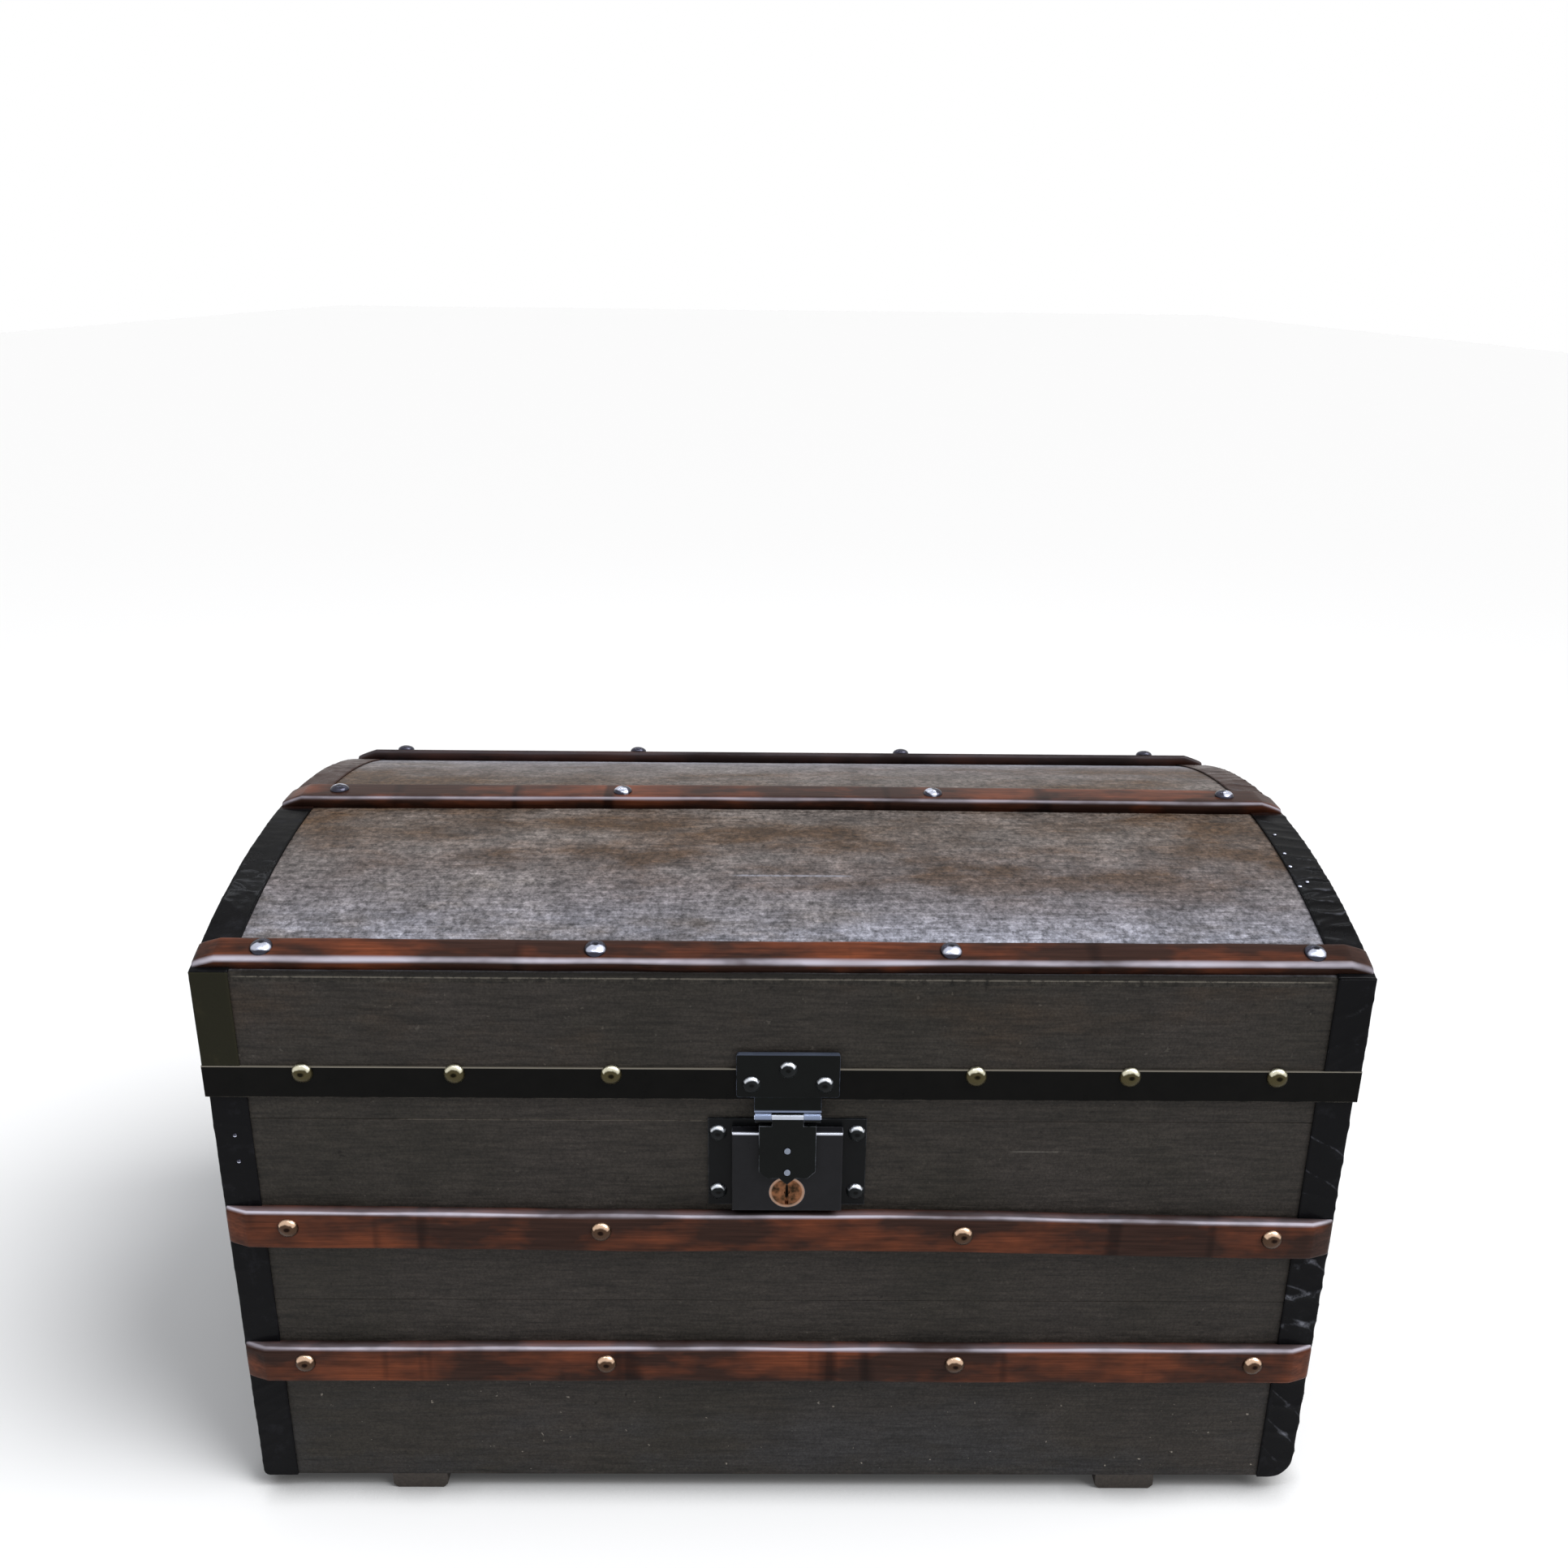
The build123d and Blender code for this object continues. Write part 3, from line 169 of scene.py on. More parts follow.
def painted_pine(name, coats, layers, lines, grain, coarse):
    """Paint over pine: slow patches of two tones, then each layer, a colour laid on between two
    heights and broken into blotches, fine streaks along the grain, specks of dust and chips,
    lines along the trunk, pale ones worn through and a dark one painted as the shadow under a
    slat, and bare wood on the faces that look inwards. On the dome one layer is a painted sheen.
    Satin, it gives a soft sheen that the raised grain breaks up."""
    material, tree, shader = new_material(name, {"Specular IOR Level": 0.14})
    texture = node(tree, "TexCoord").node.outputs
    place = texture["Object"]
    parts = node(tree, "SeparateXYZ", (place,)).node.outputs
    height = parts["Z"]
    along = node(tree, "Mapping", {"Vector": place, "Scale": grain})
    wide = node(tree, "Mapping", {"Vector": place, "Scale": blotch_scale})
    # Here and below, a scale is 1000 over the pattern's size in millimetres. Pores, grit and dust
    # are drawn about twice as coarse as the real ones, which would be too fine to show.
    noise = {}
    for key, vector, scale, detail, rough in (
        ("streaks", along, 1, 6, 0.7),
        ("blotches", wide, 1, 6, 0.65),
        ("tones", place, 1000 / 110, 5, 0.6),
        ("pores", place, 1000 / 1.6, 3, 0.6),
        ("grit", place, 1000 / 4.2, 4, 0.7),
        ("brushing", place, 1000 / 22, 4, 0.6),
        ("dust", place, 1000 / 4.8, 2, 0.6),
        ("chips", place, 1000 / 10.5, 3, 0.6),
        ("ageing", place, 1000 / 200, 4, 0.6),
    ):
        noise[key] = node(
            tree, "TexNoise", {"Vector": vector, "Scale": scale, "Detail": detail, "Roughness": rough}
        )
    tones = node(tree, "MapRange", (noise["tones"], 0.38, 0.62))
    outside = node(
        tree, "Mix", {0: tones, 6: hex_colour(coats[0]), 7: hex_colour(coats[1])}, 2, data_type="RGBA"
    )
    for colour, low, high, thin, thick, most in layers:
        risen = node(tree, "MapRange", (height, low, high))
        broken = node(tree, "MapRange", (noise["blotches"], thin, thick, 0, most))
        share = node(tree, "Math", (risen, broken), operation="MULTIPLY")
        outside = node(tree, "Mix", {0: share, 6: outside, 7: hex_colour(colour)}, 2, data_type="RGBA")
    light = 1.0
    for key, darkest, lightest in (
        ("streaks", 0.5, 1.55),
        ("pores", 0.7, 1.3),
        ("grit", 1 - coarse, 1 + coarse),
        ("brushing", 1 - coarse / 2, 1 + coarse / 2),
    ):
        tone = node(tree, "MapRange", (noise[key], 0.3, 0.7, darkest, lightest))
        light = node(tree, "Math", (light, tone), operation="MULTIPLY")
    outside = node(tree, "Mix", {0: 1.0, 6: outside, 7: light}, 2, data_type="RGBA", blend_type="MULTIPLY")
    dust = node(tree, "MapRange", (noise["dust"], 0.71, 0.76, 0, 0.75))
    low_down = node(tree, "MapRange", (height, 0.13, 0.04, 0.12, 1))
    dust = node(tree, "Math", (dust, low_down), operation="MULTIPLY")
    chips = node(tree, "MapRange", (noise["chips"], 0.70, 0.75, 0, 0.8))
    for share, colour in ((dust, "#a59d92"), (chips, "#120f0d")):
        outside = node(tree, "Mix", {0: share, 6: outside, 7: hex_colour(colour)}, 2, data_type="RGBA")
    for colour, level, half, start, stop in lines:
        off = node(tree, "Math", (height, level), operation="SUBTRACT")
        off = node(tree, "Math", (off,), operation="ABSOLUTE")
        share = 1.0
        for limits in (
            (off, half, half * 0.3),
            (noise["grit"], 0.36, 0.5, 0.15, 0.9),
            (parts["X"], start, start + line_fade),
            (parts["X"], stop, stop - line_fade),
            (parts["Y"], 0.0, -0.05),
        ):
            share = node(tree, "Math", (share, node(tree, "MapRange", limits)), operation="MULTIPLY")
        outside = node(tree, "Mix", {0: share, 6: outside, 7: hex_colour(colour)}, 2, data_type="RGBA")
    ageing = node(tree, "MapRange", (noise["ageing"], 0.4, 0.6))
    inside = node(
        tree, "Mix", {0: ageing, 6: hex_colour("#8c6d49"), 7: hex_colour("#7b6243")}, 2, data_type="RGBA"
    )
    fibre = node(tree, "MapRange", (noise["streaks"], 0.35, 0.65, 0.6, 1.15))
    inside = node(tree, "Mix", {0: 1.0, 6: inside, 7: fibre}, 2, data_type="RGBA", blend_type="MULTIPLY")
    from_middle = node(tree, "VectorMath", (place, (0, 0, 0.2)), operation="SUBTRACT")
    outwards = node(tree, "VectorMath", (texture["Normal"], from_middle), "Value", operation="DOT_PRODUCT")
    inwards = node(tree, "Math", (outwards, 0.0), operation="LESS_THAN")
    feed(
        shader,
        Base_Color=node(tree, "Mix", {0: inwards, 6: outside, 7: inside}, 2, data_type="RGBA"),
        Roughness=node(tree, "MapRange", (noise["streaks"], 0.3, 0.7, 0.44, 0.66)),
        Normal=node(tree, "Bump", {"Height": light, "Strength": 0.5, "Distance": 0.0004}),
    )
    return material


# The grain runs in streaks 26 mm long and 2.3 mm wide, drawn wider than pine's half millimetre
# so that it shows, and the paint's blotches are 170 mm by 65 mm.
grain_along_x = (1000 / 26, 1000 / 2.3, 1000 / 2.3)
grain_along_y = (1000 / 2.3, 1000 / 26, 1000 / 2.3)
blotch_scale = (1000 / 170, 1000 / 65, 1000 / 65)
line_fade = 0.008
wall_coats = ("#2a2723", "#302c29")
wall_layers = [("#392e24", 0.30, 0.36, 0.5, 0.66, 0.6), ("#2f2f31", 0.15, 0.03, 0.46, 0.62, 0.7)]
wall_lines = [("#57524b", 0.2936, 0.0007, -0.24, -0.03), ("#57534e", 0.2719, 0.0008, 0.139, 0.18)]
# The first dome layer, pale blue-grey over the lower dome towards the front, is a painted sheen: a
# reflection of the sky painted into the colour.
dome_layers = [
    ("#83848e", 0.428, 0.406, 0.34, 0.54, 0.9),
    ("#402e1d", 0.405, 0.42, 0.42, 0.6, 0.85),
    (wall_coats[0], 0.3965, 0.3945, 0.0, 0.01, 1.0),
]
# The dark line at 394 mm, just under the front lid slat, is a painted shadow.
dome_lines = [
    ("#85858d", 0.4199, 0.00025, -0.035, 0.045),
    ("#191715", 0.3942, 0.0016, -0.328, 0.328),
    ("#6b665d", 0.3920, 0.0006, -0.328, 0.328),
]
dress(
    painted_pine("oil_paint_on_wall_boards", wall_coats, wall_layers, wall_lines, grain_along_x, 0.16),
    "front_plank_lower", "front_plank_middle", "front_plank_upper", "back_plank_lower",
    "back_plank_upper", "bottom_board", "lid_front_board", "lid_back_board",
)
dress(
    painted_pine("oil_paint_on_end_boards", wall_coats, wall_layers, [], grain_along_y, 0.16),
    "left_end_board", "right_end_board", "lid_left_end", "lid_right_end",
)
dress(
    painted_pine(
        "oil_paint_on_dome_panels", ("#57504c", "#645d59"), dome_layers, dome_lines, grain_along_x, 0.7
    ),
    "dome_panel_front", "dome_panel_back",
)

# The runners
# Two battens of bare pine screwed under the bottom from front to back. They are grey with age
# and dry, so they don't shine, and their sawn ends show below the front.
fibre_scale = (1000 / 2.4, 1000 / 85, 1000 / 2.4)
runner_wood, tree, shader = new_material("weathered_pine_runners", {"Roughness": 0.8})
place = node(tree, "TexCoord", output="Object")
along = node(tree, "Mapping", {"Vector": place, "Scale": fibre_scale})
fibre = node(tree, "TexNoise", {"Vector": along, "Scale": 1.0, "Detail": 4.0})
feed(
    shader,
    Base_Color=node(
        tree, "Mix", {0: fibre, 6: hex_colour("#1b1714"), 7: hex_colour("#3e3731")}, 2, data_type="RGBA"
    ),
    Normal=node(tree, "Bump", {"Height": fibre, "Strength": 0.6, "Distance": 0.0008}),
)
dress(runner_wood, "runner_left", "runner_right")


# The bindings
# Strips of black lacquered leathercloth, 22 mm to each side, folded over the corners of box and
# lid, glued and tacked. They are glossy, creased across and a little lifted in places.
def finished(name, mesh, material, slot, body, *nodes):
    """Puts a mesh in the scene as a piece with its material and body, and hides the nodes it is for. The
    slot is not used.
    """
    mesh.materials.append(material)
    mesh.shade_smooth()
    piece = bpy.data.objects.new(name, mesh)
    bpy.context.scene.collection.objects.link(piece)
    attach(piece, body)
    if nodes:
        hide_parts(*nodes)


def closed_strip(name, loops, wear_and_highlight, material, slot, body, *nodes):
    """A closed mesh from rows of loops. Neighbouring points of neighbouring loops make a face,
    and the first and last loop are closed by faces from each point to the one opposite. Wear
    and painted highlight, from 0 to 1, are kept at each point for the material to read."""
    rows, count = loops.shape[:2]
    number = np.arange(rows * count).reshape(rows, count)
    after = np.roll(number, -1, axis=1)
    sides = np.stack([number[:-1], number[1:], after[1:], after[:-1]], -1).reshape(-1, 4)
    near = np.arange(count // 2 - 1)
    far = count - 1 - near
    ends = [
        np.stack([row[near], row[near + 1], row[far - 1], row[far]], -1) for row in (number[0], number[-1])
    ]
    mesh = bpy.data.meshes.new(name)
    mesh.from_pydata(loops.reshape(-1, 3).tolist(), [], np.concatenate([sides, *ends]).tolist())
    shell = bmesh.new()
    shell.from_mesh(mesh)
    bmesh.ops.recalc_face_normals(shell, faces=shell.faces)
    shell.to_mesh(mesh)
    shell.free()
    mesh.attributes.new("wear_and_highlight", "FLOAT", "POINT").data.foreach_set("value", wear_and_highlight.ravel())
    finished(name, mesh, material, slot, body, *nodes)


def creases(along, across, seed, pitch):
    """Folds across a strip, 0 to 1: the sum of sharp ridges, each the cube of one minus the
    size of a sine along a slanted direction, kept to patches by a slow sine along the strip."""
    chance = np.random.default_rng(seed)
    total = np.zeros(np.broadcast(along, across).shape)
    for _ in range(5):
        length = pitch * chance.uniform(0.6, 1.7)
        slant = chance.uniform(-0.9, 0.9)
        bend = 0.25 * np.sin(across / pitch * 3 + chance.uniform(0, 6))
        wave = np.sin(pi * (along + slant * across) / length + bend + chance.uniform(0, 6))
        ridge = (1 - np.abs(wave)) ** 3
        patch = np.sin(along / (pitch * chance.uniform(2, 4)) + chance.uniform(0, 6)) * 1.4
        total += ridge * np.clip(patch, 0, 1) * chance.uniform(0.5, 1.0)
    return np.clip(total, 0, 1.6) / 1.6


binding_thickness, binding_width = 0.001, 0.022
glue_line, crease_pitch = 0.0001, 0.016
hem_wave, waves_along, waves_across, full_lift = 0.00025, 55, 140, 0.0009
face_steps, corner_steps = 15, 6
lid_edge_z, lid_edge_reach = 0.304, 0.01
scratch_half_width, scratch_sag = 0.0008, 0.0012


def folded_binding(name, edge, inner, lower, face, side, seed, lift, body, node_name, cloth, scratch=None):
    """A strip folded over a corner edge. Across, a loop runs from the inner edge on the face to
    the corner, round it in a quarter turn, down the side, and back nearer the wood. The ridges
    of its creases are rubbed pale and carry a painted glint, and a scratch between two places
    on its face is rubbed pale."""
    steps = np.linspace(1, 0, face_steps)[:, None]
    turn = np.linspace(0, pi / 2, corner_steps)[1:-1, None]
    run = np.concatenate([[0], np.cumsum(np.linalg.norm(np.diff(edge, axis=0), axis=1))])[:, None]
    across = np.linspace(-binding_width, binding_width, 2 * len(steps) + len(turn))[None, :]
    ridges = creases(run, across, seed, crease_pitch)
    slow = hem_wave * np.sin(run * waves_along + seed) * np.sin(across * waves_across + seed)
    under_lid = (lid_edge_z - edge[:, 2:]) / lid_edge_reach
    free = np.ones_like(run) if body == "lid" else np.clip(under_lid, 0, 1)
    height = binding_thickness + (ridges * lift + np.abs(slow)) * free
    corner, on_face, on_side, out, aside = (row[:, None, :] for row in (edge, inner, lower, face, side))
    base = np.concatenate(
        [
            corner + (on_face - corner) * steps[None],
            corner + 0 * turn[None],
            corner + (on_side - corner) * steps[None, ::-1],
        ],
        1,
    )
    outwards = np.concatenate(
        [
            out + 0 * steps[None],
            out * np.cos(turn)[None] + aside * np.sin(turn)[None],
            aside + 0 * steps[None],
        ],
        1,
    )
    outer = base + outwards * height[..., None]
    under = base + outwards * glue_line
    rubbed_and_highlit = ridges * free * min(1, lift / full_lift)
    if scratch:
        (x1, z1), (x2, z2) = scratch
        step = np.array([x2 - x1, z2 - z1])
        flat = outer[..., [0, 2]] - (x1, z1)
        share = np.clip(flat @ step / (step @ step), 0, 1)
        sag = scratch_sag * np.sin(pi * share)
        away = np.linalg.norm(flat - share[..., None] * step + np.stack([-sag, sag], -1), axis=-1)
        rubbed_and_highlit = np.maximum(rubbed_and_highlit, 1.4 * np.exp(-((away / scratch_half_width) ** 2)))
    loops = np.concatenate([outer, under[:, ::-1]], axis=1)
    wear_and_highlight = np.concatenate([rubbed_and_highlit, 0 * rubbed_and_highlit], axis=1)
    closed_strip(name, loops, wear_and_highlight, cloth, "black_binding", body, node_name)


def lacquered_cloth(name, coat, scuff_and_sheen_tone):
    """Lacquer on cloth with pebbles 1.4 mm across and scuffs with a painted sheen in 16 mm
    patches. It is near black with a thin gloss, painted darker on the lid's arcs as shade, brown
    there behind the middle slat, where it has worn back to the leather, and pale grey on the
    ridges of its creases, partly rubbed and partly a painted glint."""
    material, tree, shader = new_material(
        name, {"Specular IOR Level": 0.03, "Coat Weight": 0.05, "Coat Roughness": 0.1}
    )
    place = node(tree, "TexCoord", output="Object")
    scuff_and_sheen_patches = node(
        tree, "TexNoise", {"Vector": place, "Scale": 1000 / 16.5, "Detail": 6.0, "Roughness": 0.7}
    )
    pebbles = node(tree, "TexNoise", {"Vector": place, "Scale": 1000 / 1.4, "Detail": 3.0})
    parts = node(tree, "SeparateXYZ", (place,)).node.outputs
    behind = node(tree, "MapRange", (parts["Y"], -0.02, -0.008))
    # The arcs face up to the light, so the cloth on them is painted darker: a painted shade.
    on_arc = node(tree, "MapRange", (parts["Z"], 0.405, 0.409))
    worn_arc = node(tree, "Math", (behind, on_arc), operation="MULTIPLY")
    # Lighter patches: partly scuffs, partly a painted sheen.
    scuff_and_sheen = node(tree, "MapRange", (scuff_and_sheen_patches, 0.56, 0.72, 0, 0.6))
    # Pale on the crease ridges and the scratch: partly rubbed lacquer, partly a painted glint.
    wear_and_highlight = node(tree, "Attribute", output="Fac", attribute_name="wear_and_highlight")
    rub_and_glint = node(tree, "MapRange", (wear_and_highlight, 0.4, 1.0))
    patchy = node(tree, "MapRange", (scuff_and_sheen_patches, 0.46, 0.6, 0.02))
    glint = node(tree, "Math", (rub_and_glint, patchy), operation="MULTIPLY")
    colour = hex_colour(coat)
    for share, tone in ((on_arc, "#060607"), (worn_arc, "#2f1c16"), (scuff_and_sheen, scuff_and_sheen_tone), (glint, "#83858f")):
        colour = node(tree, "Mix", {0: share, 6: colour, 7: hex_colour(tone)}, 2, data_type="RGBA")
    feed(
        shader,
        Base_Color=colour,
        Roughness=node(tree, "MapRange", (scuff_and_sheen_patches, 0.35, 0.7, 0.22, 0.5)),
        Normal=node(tree, "Bump", {"Height": pebbles, "Strength": 0.3, "Distance": 0.0003}),
    )
    return material


leathercloth = lacquered_cloth("black_lacquered_leathercloth", "#0e0e10", "#222226")
# An olive-dark tone of the cloth, for the front left lid corner strip.
olive_dark_cloth = lacquered_cloth("olive_dark_leathercloth", "#232218", "#312e20")

# Box: each strip runs down its corner, round the bottom corner, and a little way underneath.
half_width, half_depth = 0.350, 0.1925
box_low, box_top = 0.012, 0.320
stations, end_gap = 230, 0.0006
corner_radii = {"left": 0.003, "right": 0.015}
for side_name, sign in (("left", -1), ("right", 1)):
    radius = corner_radii[side_name]
    straight = box_top - box_low - radius
    quarter = radius * pi / 2
    under = binding_width - radius - end_gap
    run = np.linspace(0, straight + quarter + under, stations)
    turn = np.clip((run - straight) / radius, 0, pi / 2)
    beyond = np.clip(run - straight - quarter, 0, None)
    edge_x = sign * (half_width - radius * (1 - np.cos(turn)) - beyond)
    edge_z = box_top - np.clip(run, 0, straight) - radius * np.sin(turn)
    outwards = np.stack([sign * np.cos(turn), 0 * turn, -np.sin(turn)], -1)
    inner_x = sign * (half_width - binding_width)
    inner_z = box_top - (box_top - box_low) * run / run[-1]
    for face_name, face_sign in (("front", -1), ("back", 1)):
        face_y = np.full(stations, face_sign * half_depth)
        edge = np.stack([edge_x, face_y, edge_z], -1)
        inner = np.stack([np.full(stations, inner_x), face_y, inner_z], -1)
        lower = edge + np.array([0, -face_sign * binding_width, 0])
        face = np.tile([0.0, face_sign, 0.0], (stations, 1))
        node_name = f"corner_binding_{face_name}_{side_name}"
        folded_binding(
            f"leather_{node_name}", edge, inner, lower, face, outwards,
            seed=13 + sign + 5 * face_sign, lift=0.001 if sign > 0 else 0.0004,
            body="trunk", node_name=node_name, cloth=leathercloth,
        )

# Lid: short strips down its corners, and one over each curved end from front to back.
lid_half_width = 0.3514
lid_front, lid_back = -0.1939, 0.1925
lid_corner_z, band_top = 0.394, 0.332
dome_radius, dome_y, dome_z = 0.53636, -0.0007, -0.10636
lid_stations, arc_stations, fold_rise = 60, 260, 0.0008
front_scratch = ((0.3376, 0.3697), (0.3490, 0.3786))
for side_name, sign in (("left", -1), ("right", 1)):
    for face_name, face_sign, face_y in (("front", -1, lid_front), ("back", 1, lid_back)):
        z = np.linspace(lid_corner_z + fold_rise, band_top, lid_stations)
        edge = np.stack([np.full_like(z, sign * lid_half_width), np.full_like(z, face_y), z], -1)
        inner = edge - np.array([sign * binding_width, 0, 0])
        lower = edge + np.array([0, -face_sign * binding_width, 0])
        node_name = f"lid_corner_binding_{face_name}_{side_name}"
        folded_binding(
            f"leather_{node_name}", edge, inner, lower,
            np.tile([0.0, face_sign, 0.0], (lid_stations, 1)),
            np.tile([float(sign), 0.0, 0.0], (lid_stations, 1)),
            seed=25 + sign + 5 * face_sign, lift=0.0009 if sign > 0 else 0.0002,
            body="lid", node_name=node_name,
            cloth=leathercloth if sign > 0 or face_sign > 0 else olive_dark_cloth,
            scratch=front_scratch if sign > 0 and face_sign < 0 else None,
        )
    reach = asin((lid_back - dome_y) / dome_radius)
    angle = np.linspace(-reach, reach, arc_stations)
    radial = np.stack([0 * angle, np.sin(angle), np.cos(angle)], -1)
    edge = np.array([sign * lid_half_width, dome_y, dome_z]) + dome_radius * radial
    inner = edge - np.array([sign * binding_width, 0, 0])
    lower = edge - binding_width * radial
    node_name = f"lid_arc_binding_{side_name}"
    folded_binding(
        f"leather_{node_name}", edge, inner, lower, radial,
        np.tile([float(sign), 0.0, 0.0], (arc_stations, 1)),
        seed=31 + sign, lift=0.0007 if sign > 0 else 0.0003,
        body="lid", node_name=node_name, cloth=leathercloth,
    )

# The slats
# Hardwood battens, 27 mm wide and 9 mm thick on the walls, with rounded long edges and ends
# planed down over the corners, nailed over the bindings and varnished red-brown. The varnish
# lies in patches of 90 mm by 38 mm, darkens in bands across the grain and shines where thick.
# The upper or nearer rounded edge is painted pale, partly worn varnish and partly a painted
# highlight, and the lid's back slat is painted darker, partly dirt and partly painted shade.
varnish, tree, shader = new_material(
    "red_brown_varnish_on_slats", {"Coat Weight": 0.08, "Coat Roughness": 0.1, "Specular IOR Level": 0.03}
)
place = node(tree, "TexCoord", output="Object")
parts = node(tree, "SeparateXYZ", (place,)).node.outputs
patch_size = node(tree, "Mapping", {"Vector": place, "Scale": (1000 / 90, 1000 / 38, 1000 / 38)})
patches = node(tree, "TexNoise", {"Vector": patch_size, "Scale": 1.0, "Detail": 4.0, "Roughness": 0.6})
fibre_size = node(tree, "Mapping", {"Vector": place, "Scale": (1000 / 45, 1000 / 1.9, 1000 / 1.9)})
fibre = node(tree, "TexNoise", {"Vector": fibre_size, "Scale": 1.0, "Detail": 5.0, "Roughness": 0.6})
band_size = node(tree, "Mapping", {"Vector": place, "Scale": (1000 / 22, 1000 / 250, 1000 / 250)})
bands = node(tree, "TexNoise", {"Vector": band_size, "Scale": 1.0, "Detail": 2.0})
wear_and_highlight = node(tree, "Attribute", output="Fac", attribute_name="wear_and_highlight")
# Pale where the attribute says so: partly worn varnish, partly a painted highlight.
rubbed_and_highlit = node(tree, "MapRange", (patches, 0.36, 0.54, 0.3, 1.0))
rubbed_and_highlit = node(tree, "Math", (wear_and_highlight, rubbed_and_highlit), operation="MULTIPLY")
# The lid's back slat is painted darker: partly dirt, partly painted shade.
at_back = node(tree, "MapRange", (parts["Y"], 0.12, 0.14))
on_lid = node(tree, "MapRange", (parts["Z"], 0.36, 0.37, 0, 0.8))
lid_back_dirt_and_shade = node(tree, "Math", (at_back, on_lid), operation="MULTIPLY")
thin = node(tree, "MapRange", (patches, 0.46, 0.68))
dark_band = node(tree, "MapRange", (bands, 0.62, 0.72, 0, 0.75))
fibre_light = node(tree, "MapRange", (fibre, 0.3, 0.7, 0.6, 1.3))
colour = hex_colour("#33211b")
for share, tone, blend in (
    (thin, hex_colour("#6f3b25"), "MIX"),
    (dark_band, hex_colour("#150c0a"), "MIX"),
    (1.0, fibre_light, "MULTIPLY"),
    (rubbed_and_highlit, hex_colour("#bdb8c4"), "MIX"),
    (lid_back_dirt_and_shade, hex_colour("#140d0b"), "MIX"),
):
    colour = node(tree, "Mix", {0: share, 6: colour, 7: tone}, 2, data_type="RGBA", blend_type=blend)
feed(
    shader,
    Base_Color=colour,
    Roughness=node(tree, "MapRange", (patches, 0.3, 0.7, 0.45, 0.3)),
    Normal=node(tree, "Bump", {"Height": fibre, "Strength": 0.3, "Distance": 0.0003}),
)

slat_thickness, slat_end_thickness, slat_bevel = 0.009, 0.0035, 0.014
slat_edge_radius, slat_inset = 0.0034, 0.0003
edge_wander, radius_wander, crown_rise = 0.0005, 0.0012, 0.00012
slat_clearance, least_side = 0.0001, 0.0004


def slat_piece(name, origin, normal, width, half_length, bow, seed, body, edge_wear_and_highlight):
    """A batten along X. Each loop is a rectangle with rounded outer corners, its height eased
    down at the ends, its two edges and its crown wandering by a few tenths of a millimetre. The
    last argument gives the wear and painted highlight of the loop's first points, which go
    round the upper or the nearer edge."""
    chance = np.random.default_rng(seed)
    planed = half_length - slat_bevel
    x = np.concatenate([
        np.linspace(-half_length, -planed, 12)[:-1],
        np.linspace(-planed, planed, 170),
        np.linspace(planed, half_length, 12)[1:],
    ])
    ease = np.clip((half_length - np.abs(x)) / slat_bevel, 0, 1)
    wander = [
        sum(
            np.sin(x * chance.uniform(12, 90) + chance.uniform(0, 6)) * chance.uniform(0.3, 1)
            for _ in range(5)
        )[:, None] / 5
        for _ in range(4)
    ]
    planed_off = (slat_thickness - slat_end_thickness) * (1 - ease**0.8)
    height = (slat_thickness - planed_off - slat_clearance)[:, None]
    upper = width / 2 - slat_inset + edge_wander * wander[0]
    lower = -width / 2 + slat_inset + edge_wander * wander[1]
    most_radius = height - least_side
    upper_radius = np.minimum(slat_edge_radius + radius_wander * wander[2], most_radius)
    lower_radius = np.minimum(slat_edge_radius * 0.75 + radius_wander / 1.5 * wander[3], most_radius)
    turn = np.linspace(0, pi / 2, 7)
    crown = np.linspace(0, 1, 8)[1:-1]
    foot = np.full_like(height, -slat_inset)
    aside = np.concatenate([
        upper,
        upper - upper_radius * (1 - np.cos(turn)),
        upper - upper_radius + (lower + lower_radius - upper + upper_radius) * crown,
        lower + lower_radius * (1 - np.sin(turn)),
        lower,
    ], 1)
    out = np.concatenate([
        foot,
        height - upper_radius + upper_radius * np.sin(turn),
        height + crown_rise * np.sin(pi * crown) * (1 + wander[2]),
        height - lower_radius + lower_radius * np.cos(turn),
        foot,
    ], 1)
    normal = np.array(normal, float)
    on_wall = abs(normal[1]) > 0.9
    highlight_side = np.array([0, 0, 1.0]) if on_wall else np.array([0, -normal[2], normal[1]])
    points = (
        np.array(origin)
        + x[:, None, None] * np.array([1.0, 0, 0])
        + (aside + bow(x)[:, None])[..., None] * highlight_side
        + out[..., None] * normal
    )
    rubbed_and_highlit = np.zeros(points.shape[:2])
    rubbed_and_highlit[:, : len(edge_wear_and_highlight)] = edge_wear_and_highlight
    rubbed_and_highlit *= np.clip(1 + 0.3 * wander[1] - 0.3 * wander[3], 0, 1)
    closed_strip(f"varnished_{name}", points, rubbed_and_highlit, varnish, "varnished_slat", body, name)


def swell(height, middle, reach, slope=0.0):
    """How far a slat wanders sideways along its length: a slope and one smooth hump."""
    return lambda x: slope * x + height * np.exp(-(((x - middle) / reach) ** 2))


def dome_spot(y, rise=0.0):
    """A place on the dome's arc at depth y, and the direction straight out of it."""
    angle = asin((y - dome_y) / dome_radius)
    out = (0, sin(angle), cos(angle))
    return (0, dome_y + (dome_radius + rise) * sin(angle), dome_z + (dome_radius + rise) * cos(angle)), out


wall_slat_width, wall_slat_half, lid_slat_half = 0.027, 0.3499, 0.3513
upper_z, lower_z, upper_slope = 0.2138, 0.1112, -0.0096
